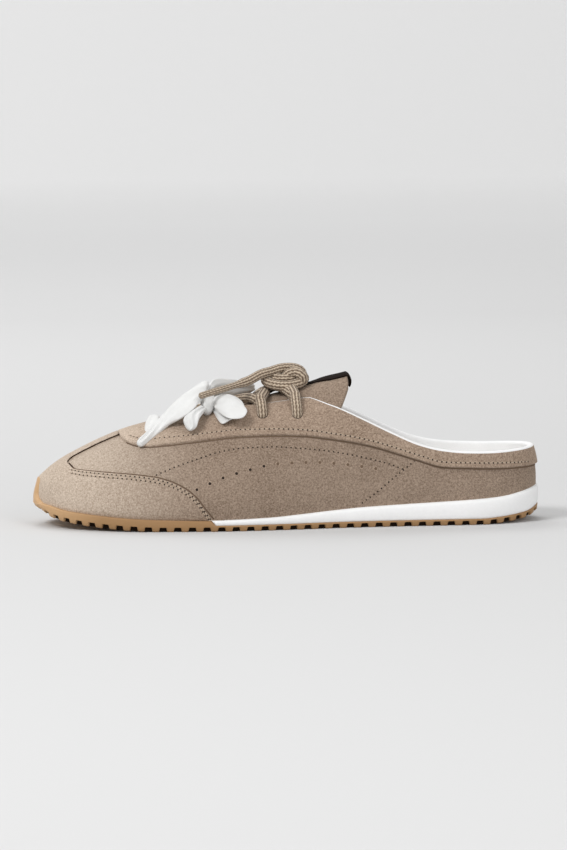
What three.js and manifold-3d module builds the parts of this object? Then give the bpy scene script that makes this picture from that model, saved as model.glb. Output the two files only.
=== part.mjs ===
import * as THREE from "three";
import { mergeVertices } from "three/addons/utils/BufferGeometryUtils.js";
import Module from "manifold-3d";

const wasm = await Module();
wasm.setup();

// A left sneaker mule, in millimetres, +Z up, standing on z = 0.
// The toe points to -X and the lateral side to -Y. The origin is under the middle of the sole.

// Driving sizes of the shoe.
const LENGTH = 266;
const BALL_WIDTH = 90;
const INSTEP_HEIGHT = 74;
const COLLAR_HEIGHT = 37;
const HEEL_STACK = 13;
const TOE_SPRING = 9.5;
const HEEL_SPRING = 5.5;

// Walls, layers and clearances.
const WALL = 2;
const OVERLAY = 1.2;
const GAP = 0.3;
const INSOLE = 6;
const INSOLE_TOE = 4;
const INSOLE_FROM = 0.4;
const INSOLE_TO = 0.7;
const TONGUE = 3;
const LABEL = 0.8;
const SIDE_INSET = 2;
const TUCK = 1.2;
const TUCK_HEIGHT = 0.12;
const HEEL_LEAN = 2.25;
const LEAN_FROM = 0.6;
const LEAN_BACK = 0.12;
const RIDGE_SHIFT = 3;

// Outsole: thickness under the midsole, lugs round the rim and the bumper on the toe.
const OUTSOLE = 3;
const LUG_HEIGHT = 1.8;
const LUG_SLOT = 2.8;
const LUG_PITCH = 7.6;
const LUG_DEPTH = 9;
const BUMPER = 2;
const BUMPER_WIDTH = 16;
const BUMPER_HEIGHT = 26;
const BUMPER_DROP = 2.4;
const TOE_TIP = 0.15;
const TOE_CURL = 3;
const TOE_CURL_REACH = 0.06;
const MIDSOLE_INSET = 0.4;
const MIDSOLE_SLANT = 2.2;
const MIDSOLE_LIP = 0.3;

// Toe cap strip, lace holes, laces and ribbon.
const STRIP_WIDTH = 15.4;
const LACE = 5;
const LACE_HOLE = 6;
const HOLE_SETBACK = 6.2;
const LACE_REST = 0.5;

// Fineness of the forms.
const ROWS = 29;
const COLUMNS = 6;
const FINEST = [0.04, 0.02, 0.01, 0.005, 0.002];
const ACROSS = 4;
const RIM_STEPS = 240;
const CORD_SIDES = 4;

const TOE_INSET = BUMPER + GAP + OVERLAY + GAP;
const HEEL_INSET = 0.8;

// Plan outline: each side's distance from the axis as a share of the ball width, by share of the
// length from the toe. The ends are rounded by TOE_ROUND and HEEL_ROUND.
const PLAN = [
  { at: 0.0, lateral: 0.38, medial: 0.46 },
  { at: 0.1, lateral: 0.425, medial: 0.475 },
  { at: 0.2, lateral: 0.468, medial: 0.49 },
  { at: 0.27, lateral: 0.485, medial: 0.5 },
  { at: 0.36, lateral: 0.5, medial: 0.47 },
  { at: 0.48, lateral: 0.465, medial: 0.375 },
  { at: 0.6, lateral: 0.4, medial: 0.305 },
  { at: 0.72, lateral: 0.365, medial: 0.315 },
  { at: 0.85, lateral: 0.35, medial: 0.35 },
  { at: 1.0, lateral: 0.34, medial: 0.345 },
];
const TOE_ROUND = { reach: 0.225, power: 2.1 };
const HEEL_ROUND = { reach: 0.16, power: 2.2 };

// Tread: its rise off the floor as a share of the toe spring and of the heel spring.
const TREAD = [
  { at: 0.0, toe: 1.0, heel: 0 },
  { at: 0.011, toe: 0.88, heel: 0 },
  { at: 0.029, toe: 0.6, heel: 0 },
  { at: 0.074, toe: 0.35, heel: 0 },
  { at: 0.12, toe: 0.2, heel: 0 },
  { at: 0.18, toe: 0.08, heel: 0 },
  { at: 0.26, toe: 0, heel: 0 },
  { at: 0.88, toe: 0, heel: 0 },
  { at: 0.912, toe: 0, heel: 0.1 },
  { at: 0.948, toe: 0, heel: 0.29 },
  { at: 0.975, toe: 0, heel: 0.5 },
  { at: 1.0, toe: 0, heel: 1.0 },
];

// Feather line, where the upper meets the sole, as a share of the heel stack.
const FEATHER = [
  { at: 0.0, rise: 0.96 },
  { at: 0.02, rise: 0.93 },
  { at: 0.054, rise: 0.77 },
  { at: 0.114, rise: 0.64 },
  { at: 0.17, rise: 0.55 },
  { at: 0.232, rise: 0.485 },
  { at: 0.353, rise: 0.43 },
  { at: 0.45, rise: 0.48 },
  { at: 0.529, rise: 0.595 },
  { at: 0.59, rise: 0.7 },
  { at: 0.641, rise: 0.78 },
  { at: 0.7, rise: 0.84 },
  { at: 0.786, rise: 0.92 },
  { at: 0.865, rise: 1.0 },
  { at: 0.924, rise: 1.09 },
  { at: 0.963, rise: 1.23 },
  { at: 1.0, rise: 1.42 },
];

// Ridge of the last: its height as a share of the instep height, how full the section under it
// is, and how far it runs to the medial side of the middle. Behind the throat it is the top of
// the leg that the collar is cut from.
const RIDGE = [
  { at: 0.0, rise: 0.25, full: 2.6, medial: 0 },
  { at: 0.012, rise: 0.312, full: 2.6, medial: 0 },
  { at: 0.026, rise: 0.36, full: 2.6, medial: 0 },
  { at: 0.041, rise: 0.405, full: 2.6, medial: 0.1 },
  { at: 0.063, rise: 0.458, full: 2.5, medial: 0.2 },
  { at: 0.089, rise: 0.508, full: 2.4, medial: 0.3 },
  { at: 0.139, rise: 0.594, full: 2.3, medial: 0.5 },
  { at: 0.185, rise: 0.658, full: 2.2, medial: 0.7 },
  { at: 0.217, rise: 0.69, full: 2.2, medial: 0.8 },
  { at: 0.27, rise: 0.735, full: 2.1, medial: 1 },
  { at: 0.37, rise: 0.827, full: 2.1, medial: 1 },
  { at: 0.43, rise: 0.877, full: 2.2, medial: 1 },
  { at: 0.51, rise: 0.945, full: 2.2, medial: 1 },
  { at: 0.56, rise: 1.0, full: 2.2, medial: 0.8 },
  { at: 0.62, rise: 1.09, full: 2.3, medial: 0.6 },
  { at: 0.7, rise: 1.18, full: 2.4, medial: 0.3 },
  { at: 0.85, rise: 1.25, full: 2.4, medial: 0 },
  { at: 1.0, rise: 1.26, full: 2.4, medial: 0 },
];

// Collar line, as a share of the collar height.
const COLLAR = [
  { at: 0.5, rise: 2.6 },
  { at: 0.522, rise: 1.95 },
  { at: 0.538, rise: 1.79 },
  { at: 0.5525, rise: 1.758 },
  { at: 0.572, rise: 1.709 },
  { at: 0.598, rise: 1.643 },
  { at: 0.647, rise: 1.483 },
  { at: 0.699, rise: 1.303 },
  { at: 0.754, rise: 1.131 },
  { at: 0.8, rise: 1.048 },
  { at: 0.845, rise: 1.014 },
  { at: 0.895, rise: 1.005 },
  { at: 0.95, rise: 1.02 },
  { at: 1.03, rise: 1.06 },
];

// Throat: half its width as a share of its width at the top.
const THROAT_WIDTH = 39;
const THROAT = [
  { at: 0.228, half: 0 },
  { at: 0.231, half: 0.14 },
  { at: 0.238, half: 0.19 },
  { at: 0.25, half: 0.215 },
  { at: 0.35, half: 0.295 },
  { at: 0.43, half: 0.354 },
  { at: 0.49, half: 0.39 },
  { at: 0.53, half: 0.402 },
  { at: 0.62, half: 0.45 },
];

// Toe cap: the upper edge of its wings, as a share of the instep height.
const CAP_EDGE = [
  { at: 0.061, rise: 0.433 },
  { at: 0.071, rise: 0.416 },
  { at: 0.098, rise: 0.407 },
  { at: 0.126, rise: 0.403 },
  { at: 0.182, rise: 0.393 },
  { at: 0.228, rise: 0.377 },
  { at: 0.259, rise: 0.35 },
  { at: 0.288, rise: 0.303 },
  { at: 0.312, rise: 0.235 },
  { at: 0.328, rise: 0.159 },
  { at: 0.346, rise: 0.079 },
  { at: 0.361, rise: 0.02 },
];

const CAP_END = 0.36;

// The toe cap's strip up the vamp, half its width as a share of the strip's width.
const STRIP = [
  { at: 0.05, half: 0.5 },
  { at: 0.167, half: 0.5 },
];

// Eyestay and collar band: its lower edge, as a share of the instep height.
const BAND_EDGE = [
  { at: 0.17, rise: 0.62 },
  { at: 0.176, rise: 0.593 },
  { at: 0.188, rise: 0.575 },
  { at: 0.205, rise: 0.562 },
  { at: 0.223, rise: 0.56 },
  { at: 0.248, rise: 0.57 },
  { at: 0.3, rise: 0.595 },
  { at: 0.349, rise: 0.625 },
  { at: 0.4, rise: 0.645 },
  { at: 0.475, rise: 0.652 },
  { at: 0.526, rise: 0.646 },
  { at: 0.572, rise: 0.626 },
  { at: 0.623, rise: 0.597 },
  { at: 0.673, rise: 0.555 },
  { at: 0.71, rise: 0.513 },
  { at: 0.755, rise: 0.46 },
  { at: 0.8, rise: 0.413 },
  { at: 0.845, rise: 0.398 },
  { at: 0.936, rise: 0.385 },
  { at: 1.03, rise: 0.39 },
];

// Tongue: half its width as a share of the throat's width, by share of the length.
const TONGUE_PLAN = [
  { at: 0.205, half: 0.36 },
  { at: 0.215, half: 0.45 },
  { at: 0.35, half: 0.5 },
  { at: 0.5, half: 0.57 },
  { at: 0.57, half: 0.62 },
  { at: 0.59, half: 0.6 },
  { at: 0.602, half: 0.53 },
  { at: 0.612, half: 0.42 },
  { at: 0.62, half: 0.26 },
];
const LABEL_PLAN = [
  { at: 0.537, half: 0.17 },
  { at: 0.618, half: 0.24 },
];

// Lace holes, from the toe back.
const HOLES = [{ at: 0.315 }, { at: 0.382 }, { at: 0.449 }, { at: 0.516 }];

// A smooth curve through a table's rows, by share of the length, that never swings past them.
function curve(rows, name) {
  const x = rows.map((row) => row.at);
  const y = rows.map((row) => row[name]);
  const last = x.length - 1;
  const rise = x.slice(1).map((value, i) => (y[i + 1] - y[i]) / (value - x[i]));
  const slope = x.map((_, i) => {
    if (i === 0) return rise[0];
    if (i === last) return rise[last - 1];
    if (rise[i - 1] * rise[i] <= 0) return 0;
    return (2 * rise[i - 1] * rise[i]) / (rise[i - 1] + rise[i]);
  });
  return (at) => {
    if (at <= x[0]) return y[0];
    if (at >= x[last]) return y[last];
    let i = 0;
    while (at > x[i + 1]) i += 1;
    const h = x[i + 1] - x[i];
    const t = (at - x[i]) / h;
    const s = 1 - t;
    return (
      y[i] * (1 + 2 * t) * s * s +
      slope[i] * h * t * s * s +
      y[i + 1] * (3 - 2 * t) * t * t -
      slope[i + 1] * h * t * t * s
    );
  };
}

const lateral = curve(PLAN, "lateral");
const medial = curve(PLAN, "medial");
const treadToe = curve(TREAD, "toe");
const treadHeel = curve(TREAD, "heel");
const featherRise = curve(FEATHER, "rise");
const ridgeRise = curve(RIDGE, "rise");
const fullness = curve(RIDGE, "full");
const ridgeMedial = curve(RIDGE, "medial");
const collarRise = curve(COLLAR, "rise");
const throatHalf = curve(THROAT, "half");

const along = (at) => (at - 0.5) * LENGTH;
const shareOf = (x) => x / LENGTH + 0.5;
const clamp = (value, low, high) => Math.min(Math.max(value, low), high);

const treadHeight = (at) => TOE_SPRING * treadToe(at) + HEEL_SPRING * treadHeel(at);
const featherHeight = (at) => HEEL_STACK * featherRise(at);
const ridgeHeight = (at) => INSTEP_HEIGHT * ridgeRise(at);
const collarHeight = (at) => COLLAR_HEIGHT * collarRise(at);

// Share of the full width that a round end leaves at a share of the length.
function roundEnd(distance, { reach, power }) {
  const t = clamp(1 - distance / reach, 0, 1);
  return (1 - t ** power) ** (1 / power);
}
const roundEnds = (at) => roundEnd(at, TOE_ROUND) * roundEnd(1 - at, HEEL_ROUND);

// Middle and half width of the sole's plan outline.
const middle = (at) => ((medial(at) - lateral(at)) / 2) * BALL_WIDTH;
const halfWidth = (at) => ((medial(at) + lateral(at)) / 2) * BALL_WIDTH;

// Shares along the length, closer together at both ends.
const spaced = (count) =>
  Array.from({ length: count + 1 }, (_, i) => (1 - Math.cos((Math.PI * i) / count)) / 2);

// A point of the last's surface. end runs from 0 at the toe to 1 at the heel, up from 0 at the
// feather line to 1 at the ridge, and side is -1 for lateral and 1 for medial.
function lastPoint(end, up, side) {
  const share = (1 - Math.cos(Math.PI * clamp(end, 0, 1))) / 2;
  const x = along(0) + TOE_INSET + share * (LENGTH - TOE_INSET - HEEL_INSET);
  const at = shareOf(x);
  const round = roundEnds(share);
  const foot = featherHeight(at);
  const height = Math.sin((Math.PI / 2) * up);
  const z = foot + height * (ridgeHeight(at) - foot);
  const edge = middle(at) + side * (halfWidth(at) - SIDE_INSET) * round;
  const ridge = middle(at) + RIDGE_SHIFT * ridgeMedial(at) * round;
  const wide = Math.sqrt(Math.max(0, 1 - height ** fullness(at)));
  const tuck = TUCK * clamp(1 - height / TUCK_HEIGHT, 0, 1) ** 2 * round;
  const y = ridge + (edge - ridge) * wide - side * tuck;
  const lean = clamp((z / COLLAR_HEIGHT - LEAN_FROM) / (1 - LEAN_FROM), 0, 1.5);
  const back = clamp((at - 1 + LEAN_BACK) / LEAN_BACK, 0, 1);
  return new THREE.Vector3(x - HEEL_LEAN * lean * lean * back * back, y, z);
}

// Outward direction of the last's surface, level at the feather line.
function lastNormal(end, up, side) {
  const step = 0.004;
  const e = clamp(end, 3 * step, 1 - 3 * step);
  const u = clamp(up, step, 1 - 3 * step);
  const a = lastPoint(e + step, u, side).sub(lastPoint(e - step, u, side));
  const b = lastPoint(e, u + step, side).sub(lastPoint(e, u - step, side));
  const out = new THREE.Vector3().crossVectors(a, b).multiplyScalar(-side);
  out.normalize();
  if (end < step || end > 1 - step || up > 1 - step) out.y = 0;
  if (up < step) out.z = 0;
  return out.normalize();
}

// A closed solid from a list of points and triangles, turned to face outwards.
function solid(points, triangles) {
  const flat = points.flatMap((p) => [p.x, p.y, p.z]);
  const geometry = new THREE.BufferGeometry();
  geometry.setAttribute("position", new THREE.Float32BufferAttribute(flat, 3));
  geometry.setIndex(triangles.flat());
  return weld(geometry);
}

// A geometry's vertices merged within a tolerance and its empty triangles dropped, as a solid.
function weld(geometry, tolerance = 1e-3) {
  const bare = geometry.clone();
  bare.deleteAttribute("normal");
  bare.deleteAttribute("uv");
  const merged = mergeVertices(bare, tolerance);
  const index = merged.index.array;
  const kept = [];
  for (let i = 0; i < index.length; i += 3) {
    const [a, b, c] = [index[i], index[i + 1], index[i + 2]];
    if (a !== b && b !== c && c !== a) kept.push(a, b, c);
  }
  const make = (list) =>
    new wasm.Manifold(
      new wasm.Mesh({
        numProp: 3,
        vertProperties: new Float32Array(merged.attributes.position.array),
        triVerts: new Uint32Array(list),
      }),
    );
  const made = make(kept);
  if (made.volume() > 0) return made;
  return make(kept.map((_, i) => kept[i - (i % 3) + (2 - (i % 3))]));
}

// Whether each edge of a geometry lies between exactly two triangles.
function closed(geometry) {
  const index = geometry.index.array;
  const edges = new Map();
  for (let i = 0; i < index.length; i += 1) {
    const a = index[i];
    const b = index[i - (i % 3) + ((i + 1) % 3)];
    const key = a < b ? `${a} ${b}` : `${b} ${a}`;
    edges.set(key, (edges.get(key) ?? 0) + 1);
  }
  return [...edges.values()].every((count) => count === 2);
}

// A closed tube of rings, all of one length: rings[i][j], wrapped round j and capped at i's ends.
function ringSolid(rings) {
  const count = rings[0].length;
  const points = rings.flat();
  const triangles = [];
  for (let i = 0; i + 1 < rings.length; i += 1) {
    for (let j = 0; j < count; j += 1) {
      const a = i * count + j;
      const b = i * count + ((j + 1) % count);
      triangles.push([a, b, b + count], [a, b + count, a + count]);
    }
  }
  const end = (rings.length - 1) * count;
  for (let j = 1; j + 1 < count; j += 1) {
    triangles.push([0, j + 1, j], [end, end + j, end + j + 1]);
  }
  return solid(points, triangles);
}

// The whole last, moved outwards by an offset and down by a drop, with a skirt below its feather
// line.
function form(offset, skirt, drop = 0) {
  const steps = Array.from({ length: COLUMNS + 1 }, (_, j) => j / COLUMNS);
  const place = (end, up, side) =>
    lastPoint(end, up, side)
      .addScaledVector(lastNormal(end, up, side), offset)
      .setZ(lastPoint(end, up, side).z + lastNormal(end, up, side).z * offset - drop);
  const rings = Array.from({ length: ROWS + 1 }, (_, i) => {
    const end = i / ROWS;
    const left = steps.map((up) => place(end, up, -1));
    const right = steps.slice(0, -1).map((up) => place(end, up, 1));
    const foot = [left[0], right[0]].map((p) => new THREE.Vector3(p.x, p.y, p.z - skirt));
    return [...(skirt ? [foot[0]] : []), ...left, ...right.reverse(), ...(skirt ? [foot[1]] : [])];
  });
  return ringSolid(rings);
}

// A shape of the side view, given as points of length and height, right across the shoe.
function sidePrism(points) {
  const shape = new THREE.Shape(points.map(([x, z]) => new THREE.Vector2(x, z)));
  const depth = 2 * BALL_WIDTH;
  const geometry = new THREE.ExtrudeGeometry(shape, { depth, bevelEnabled: false, steps: 1 });
  geometry.rotateX(Math.PI / 2).translate(0, depth / 2, 0);
  return weld(geometry);
}

// A shape of the plan view between two heights.
function planPrism(points, low, high) {
  const shape = new THREE.Shape(points.map(([x, y]) => new THREE.Vector2(x, y)));
  const depth = high - low;
  const geometry = new THREE.ExtrudeGeometry(shape, { depth, bevelEnabled: false, steps: 1 });
  return weld(geometry.translate(0, 0, low));
}

const ridgeLine = (at) => middle(at) + RIDGE_SHIFT * ridgeMedial(at);

// A plan shape as wide on each side of the ridge as its table says.
function ridgeStrip(rows, scale, steps, low, high) {
  const half = curve(rows, "half");
  const first = rows[0].at;
  const span = rows[rows.length - 1].at - first;
  const shares = Array.from({ length: steps + 1 }, (_, i) => first + (span * i) / steps);
  const ats = [...new Set([...shares, ...rows.map((row) => row.at)])].sort((a, b) => a - b);
  const near = ats.map((at) => [along(at), ridgeLine(at) - half(at) * scale]);
  const far = ats.map((at) => [along(at), ridgeLine(at) + half(at) * scale]);
  return planPrism([...near, ...far.reverse()], low, high);
}

// Points along a table's height curve.
function edgeLine(rows, scale, steps) {
  const rise = curve(rows, "rise");
  const first = rows[0].at;
  const span = rows[rows.length - 1].at - first;
  return Array.from({ length: steps + 1 }, (_, i) => {
    const at = first + (span * i) / steps;
    return [along(at), rise(at) * scale];
  });
}

// What the throat and the collar take out of every layer of the upper.
function opening() {
  const top = 2 * INSTEP_HEIGHT;
  const line = edgeLine(COLLAR, COLLAR_HEIGHT, 32);
  const collar = sidePrism([...line, [line[line.length - 1][0], top], [line[0][0], top]]);
  const throat = ridgeStrip(THROAT, THROAT_WIDTH, 18, INSTEP_HEIGHT / 2, top);
  return collar.add(throat);
}

// A place on the last at a share of the length and a distance from its ridge, in plan.
function placeOn(at, half, side) {
  const share = clamp((along(at) - along(0) - TOE_INSET) / (LENGTH - TOE_INSET - HEEL_INSET), 0, 1);
  const end = Math.acos(1 - 2 * share) / Math.PI;
  const reach = Math.abs(middle(at) + side * (halfWidth(at) - SIDE_INSET) - ridgeLine(at));
  const height = (1 - (half / reach) ** 2) ** (1 / fullness(at));
  const up = (Math.asin(height) * 2) / Math.PI;
  return { point: lastPoint(end, up, side), normal: lastNormal(end, up, side) };
}

const throatEdge = (at) => throatHalf(at) * THROAT_WIDTH;
const holeHalf = (at) => throatEdge(at) + HOLE_SETBACK;

// Lace holes: a round bore on each side at each row of the table, square to the surface.

function laceHoles() {
  const depth = 6 * WALL;
  const circle = new THREE.Shape().absarc(0, 0, LACE_HOLE / 2, 0, 2 * Math.PI);
  const options = { depth, bevelEnabled: false, curveSegments: 5, steps: 1 };
  return HOLES.flatMap(({ at }) =>
    [-1, 1].map((side) => {
      const { point, normal } = placeOn(at, holeHalf(at), side);
      const bore = new THREE.ExtrudeGeometry(circle, options).translate(0, 0, -depth / 2);
      const turn = new THREE.Quaternion().setFromUnitVectors(new THREE.Vector3(0, 0, 1), normal);
      bore.applyQuaternion(turn).translate(point.x, point.y, point.z);
      return weld(bore);
    }),
  ).reduce((all, bore) => all.add(bore));
}

// A slab over the sole's plan between two heights, from one share of the length to another. Its
// lower face can be drawn back at the toe by a curl.
function slab(from, to, inset, low, high, extra = [], curl = 0) {
  const shares = spaced(ROWS)
    .filter((at) => at > from + 0.002 && at < to - 0.002)
    .concat([from, to], extra)
    .sort((a, b) => a - b);
  const rings = shares.map((at) => {
    const half = Math.max(0, halfWidth(at) - inset) * roundEnds(at);
    const spread = Array.from({ length: ACROSS + 1 }, (_, j) => (2 * j) / ACROSS - 1);
    const back = curl * clamp(1 - at / TOE_CURL_REACH, 0, 1);
    const point = (t, z, shift) => new THREE.Vector3(along(at) + shift, middle(at) + t * half, z);
    const bottom = spread.map((t) => point(t, low(at), back));
    const top = spread.map((t) => point(t, high(at), 0)).reverse();
    return [...bottom, ...top];
  });
  return ringSolid(rings);
}

// Slots between the lugs, square to the rim of the sole, at equal steps round it.
function lugSlots() {
  const rim = [];
  for (const side of [-1, 1]) {
    for (let i = 0; i <= RIM_STEPS; i += 1) {
      const at = (1 - Math.cos((Math.PI * (side < 0 ? i : RIM_STEPS - i)) / RIM_STEPS)) / 2;
      const half = halfWidth(at) * roundEnds(at);
      const back = TOE_CURL * clamp(1 - at / TOE_CURL_REACH, 0, 1);
      rim.push(new THREE.Vector3(along(at) + back, middle(at) + side * half, treadHeight(at)));
    }
  }
  const total = rim.slice(1).reduce((sum, p, i) => sum + p.distanceTo(rim[i]), 0);
  const slots = Math.round(total / LUG_PITCH);
  const cutters = [];
  let walked = 0;
  for (let i = 1; i < rim.length && cutters.length < slots; i += 1) {
    walked += rim[i].distanceTo(rim[i - 1]);
    if (walked < ((cutters.length + 0.5) * total) / slots) continue;
    const heading = Math.atan2(rim[i].y - rim[i - 1].y, rim[i].x - rim[i - 1].x);
    const box = new THREE.BoxGeometry(LUG_SLOT, 2 * LUG_DEPTH, 2 * LUG_HEIGHT);
    const slope = (rim[i].z - rim[i - 1].z) / Math.max(1e-6, rim[i].distanceTo(rim[i - 1]));
    const inward = shareOf(rim[i].x - LUG_DEPTH * Math.sin(heading));
    const tilt = Math.atan2(treadHeight(inward) - rim[i].z, LUG_DEPTH);
    box.rotateY(-Math.asin(clamp(slope, -0.9, 0.9))).rotateX(tilt).rotateZ(heading);
    cutters.push(weld(box.translate(rim[i].x, rim[i].y, rim[i].z)));
  }
  return cutters.reduce((all, cutter) => all.add(cutter));
}

// The toe bumper: a tab of rubber outside the toe cap, from the sole up.
function bumper() {
  const out = GAP + OVERLAY + GAP;
  const shell = form(out + BUMPER, HEEL_STACK / 4, BUMPER_DROP).subtract(form(out, GAP));
  const half = BUMPER_WIDTH / 2;
  const centre = middle(0);
  const round = half / 2;
  const shape = new THREE.Shape()
    .moveTo(centre - half, 0)
    .lineTo(centre + half, 0)
    .lineTo(centre + half, BUMPER_HEIGHT - round)
    .quadraticCurveTo(centre + half, BUMPER_HEIGHT, centre + half - round, BUMPER_HEIGHT)
    .lineTo(centre - half + round, BUMPER_HEIGHT)
    .quadraticCurveTo(centre - half, BUMPER_HEIGHT, centre - half, BUMPER_HEIGHT - round);
  const depth = BUMPER_WIDTH;
  const tab = new THREE.ExtrudeGeometry(shape, { depth, bevelEnabled: false, curveSegments: 5 });
  const turn = new THREE.Matrix4().makeBasis(
    new THREE.Vector3(0, 1, 0),
    new THREE.Vector3(0, 0, 1),
    new THREE.Vector3(1, 0, 0),
  );
  tab.applyMatrix4(turn).translate(along(0) - BUMPER, 0, 0);
  return shell.intersect(weld(tab));
}

const MIDSOLE_FRONT = 0.341;
const MIDSOLE_FOOT = MIDSOLE_FRONT + MIDSOLE_SLANT / LENGTH;

function outsole() {
  const top = (at) => {
    const whole = featherHeight(at) - GAP;
    const thin = Math.min(whole, treadHeight(at) + OUTSOLE);
    const step = clamp((at - MIDSOLE_FRONT) / (MIDSOLE_FOOT - MIDSOLE_FRONT), 0, 1);
    return whole + (thin - whole) * step;
  };
  const tip = TOE_TIP / LENGTH;
  const base = slab(tip, 1, 0, treadHeight, top, [MIDSOLE_FRONT, MIDSOLE_FOOT], TOE_CURL);
  return base.add(bumper()).subtract(lugSlots());
}

function midsole() {
  const front = MIDSOLE_FRONT + GAP / LENGTH;
  const foot = MIDSOLE_FOOT + GAP / LENGTH;
  const top = (at) => featherHeight(at) - GAP;
  const low = (at) => {
    const rest = treadHeight(at) + OUTSOLE + GAP;
    const step = clamp((at - front) / (foot - front), 0, 1);
    return top(at) - MIDSOLE_LIP + (rest - top(at) + MIDSOLE_LIP) * step;
  };
  return slab(front, 1, MIDSOLE_INSET, low, top, [foot]);
}

function insole() {
  const inner = form(-WALL - GAP, 0);
  const climb = (at) => clamp((at - INSOLE_FROM) / (INSOLE_TO - INSOLE_FROM), 0, 1);
  const thick = (at) => INSOLE_TOE + (INSOLE - INSOLE_TOE) * climb(at);
  const bed = slab(0, 1, 0, (at) => featherHeight(at), (at) => featherHeight(at) + thick(at));
  return inner.intersect(bed);
}

const core = form(0, 0);
const cavity = form(-WALL, 2);
const overlayTop = form(GAP + OVERLAY, 0);
const overlayBed = form(GAP, GAP);
const cut = opening();
const holes = laceHoles();

function upper() {
  return core.subtract(cavity).subtract(cut).subtract(holes);
}

function toeCap() {
  const line = edgeLine(CAP_EDGE, INSTEP_HEIGHT, 24);
  const end = line[line.length - 1][0];
  const ahead = along(0) - BUMPER;
  const front = line[0][0];
  const top = INSTEP_HEIGHT;
  const wings = sidePrism([...line, [end, 0], [ahead, 0], [ahead, top], [front, top]]);
  const strip = ridgeStrip(STRIP, STRIP_WIDTH, 8, 0, top);
  const behind = 2 * LENGTH;
  const under = sidePrism([
    [along(CAP_END), -OUTSOLE],
    [behind, -OUTSOLE],
    [behind, top],
    [along(CAP_END), top],
  ]);
  const shell = overlayTop.subtract(overlayBed);
  const sole = slab(0, 1, -SIDE_INSET, () => 0, featherHeight);
  return shell.intersect(wings.add(strip)).subtract(under).subtract(sole);
}

function eyestayBand() {
  const line = edgeLine(BAND_EDGE, INSTEP_HEIGHT, 40);
  const top = 2 * INSTEP_HEIGHT;
  const area = sidePrism([...line, [line[line.length - 1][0], top], [line[0][0], top]]);
  return overlayTop.subtract(overlayBed).intersect(area).subtract(cut).subtract(holes);
}

function tongue() {
  const shell = form(-WALL - GAP, 0).subtract(form(-WALL - GAP - TONGUE, 2));
  const area = ridgeStrip(TONGUE_PLAN, THROAT_WIDTH, 16, INSTEP_HEIGHT / 3, 2 * INSTEP_HEIGHT);
  return shell.intersect(area);
}

// The label lies along the top of the tongue and folds down over its end.
function tongueLabel() {
  const top = 2 * INSTEP_HEIGHT;
  const outer = form(-WALL + LABEL, 0);
  const area = ridgeStrip(LABEL_PLAN, THROAT_WIDTH, 4, INSTEP_HEIGHT / 3, top);
  const end = TONGUE_PLAN[TONGUE_PLAN.length - 1].at + GAP / LENGTH;
  const half = LABEL_PLAN[LABEL_PLAN.length - 1].half;
  const fold = [
    { at: LABEL_PLAN[LABEL_PLAN.length - 1].at, half },
    { at: end + LABEL / LENGTH, half },
  ];
  const flap = [
    { at: end, half },
    { at: end + LABEL / LENGTH, half },
  ];
  const over = outer.subtract(form(-WALL, 2));
  const down = outer.subtract(form(-WALL - GAP - TONGUE, 2));
  const plan = (rows) => ridgeStrip(rows, THROAT_WIDTH, 1, INSTEP_HEIGHT / 3, top);
  return over.intersect(area.add(plan(fold))).add(down.intersect(plan(flap)));
}

// A round cord through a few points, as thick as its radius says.
function cord(points, radius, steps) {
  const path = new THREE.CatmullRomCurve3(points, false, "centripetal");
  const circle = new THREE.Shape().absarc(0, 0, radius, 0, 2 * Math.PI);
  const options = { steps, bevelEnabled: false, extrudePath: path, curveSegments: CORD_SIDES };
  return weld(new THREE.ExtrudeGeometry(circle, options));
}

// The same as a ring that closes on itself.
function cordRing(points, radius, steps) {
  const path = new THREE.CatmullRomCurve3(points, true, "centripetal");
  return weld(new THREE.TubeGeometry(path, steps, radius, 2 * CORD_SIDES, true));
}

// Where the lace rests: on the suede beside the throat, and on the tongue between its edges.
const LACE_OVER = GAP + OVERLAY + GAP + LACE / 2 + LACE_REST;
const LACE_UNDER = -WALL + LACE / 2 + LACE_REST;

function lacePlace(at, half, side, lift) {
  const { point, normal } = placeOn(at, half, side);
  return point.addScaledVector(normal, lift);
}

// The lace's bars run straight from hole to hole. Between them it crosses the tongue from the
// medial side of one row to the lateral side of the next.
function laceCrossings(spare = 0) {
  const radius = LACE / 2 + spare;
  const bars = HOLES.map(({ at }) => {
    const side = (s) => [
      lacePlace(at, holeHalf(at), s, LACE_OVER),
      lacePlace(at, throatEdge(at), s, LACE_OVER),
    ];
    const top = lacePlace(at, LACE / 2, -1, LACE_UNDER + 2 * LACE_REST);
    return cord([...side(-1), top, ...side(1).reverse()], radius, 7);
  });
  const crossings = HOLES.slice(1).map(({ at }, i) => {
    const before = HOLES[i].at;
    const middleAt = (at + before) / 2;
    const points = [
      lacePlace(before, throatEdge(before) - LACE / 2, 1, LACE_UNDER + LACE / 2),
      lacePlace(middleAt, LACE / 2, 1, LACE_UNDER + 2 * LACE_REST),
      lacePlace(at, throatEdge(at) - LACE / 2, -1, LACE_UNDER + LACE / 2),
    ];
    return cord(points, radius, 4);
  });
  return [...bars, ...crossings].reduce((all, strand) => all.add(strand));
}

// The knot: an oval ring of lace lying on the top bars and a short loop through it.
const KNOT_RING = [
  { x: 9.5, y: -4, z: 75.5 },
  { x: 5.5, y: -9.5, z: 74 },
  { x: -1, y: -11.5, z: 73.5 },
  { x: -7.5, y: -9, z: 74 },
  { x: -10.5, y: -4, z: 74.8 },
  { x: -7, y: 2, z: 77 },
  { x: 0, y: 4, z: 78.5 },
  { x: 7, y: 1.5, z: 77.5 },
];
const KNOT_LOOP = [
  { x: -0.5, y: -3.5, z: 75.5 },
  { x: 1.5, y: -6, z: 78.5 },
  { x: 5.5, y: -8.5, z: 79.3 },
  { x: 8.5, y: -9, z: 77 },
  { x: 8.5, y: -7, z: 73.5 },
];

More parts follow.
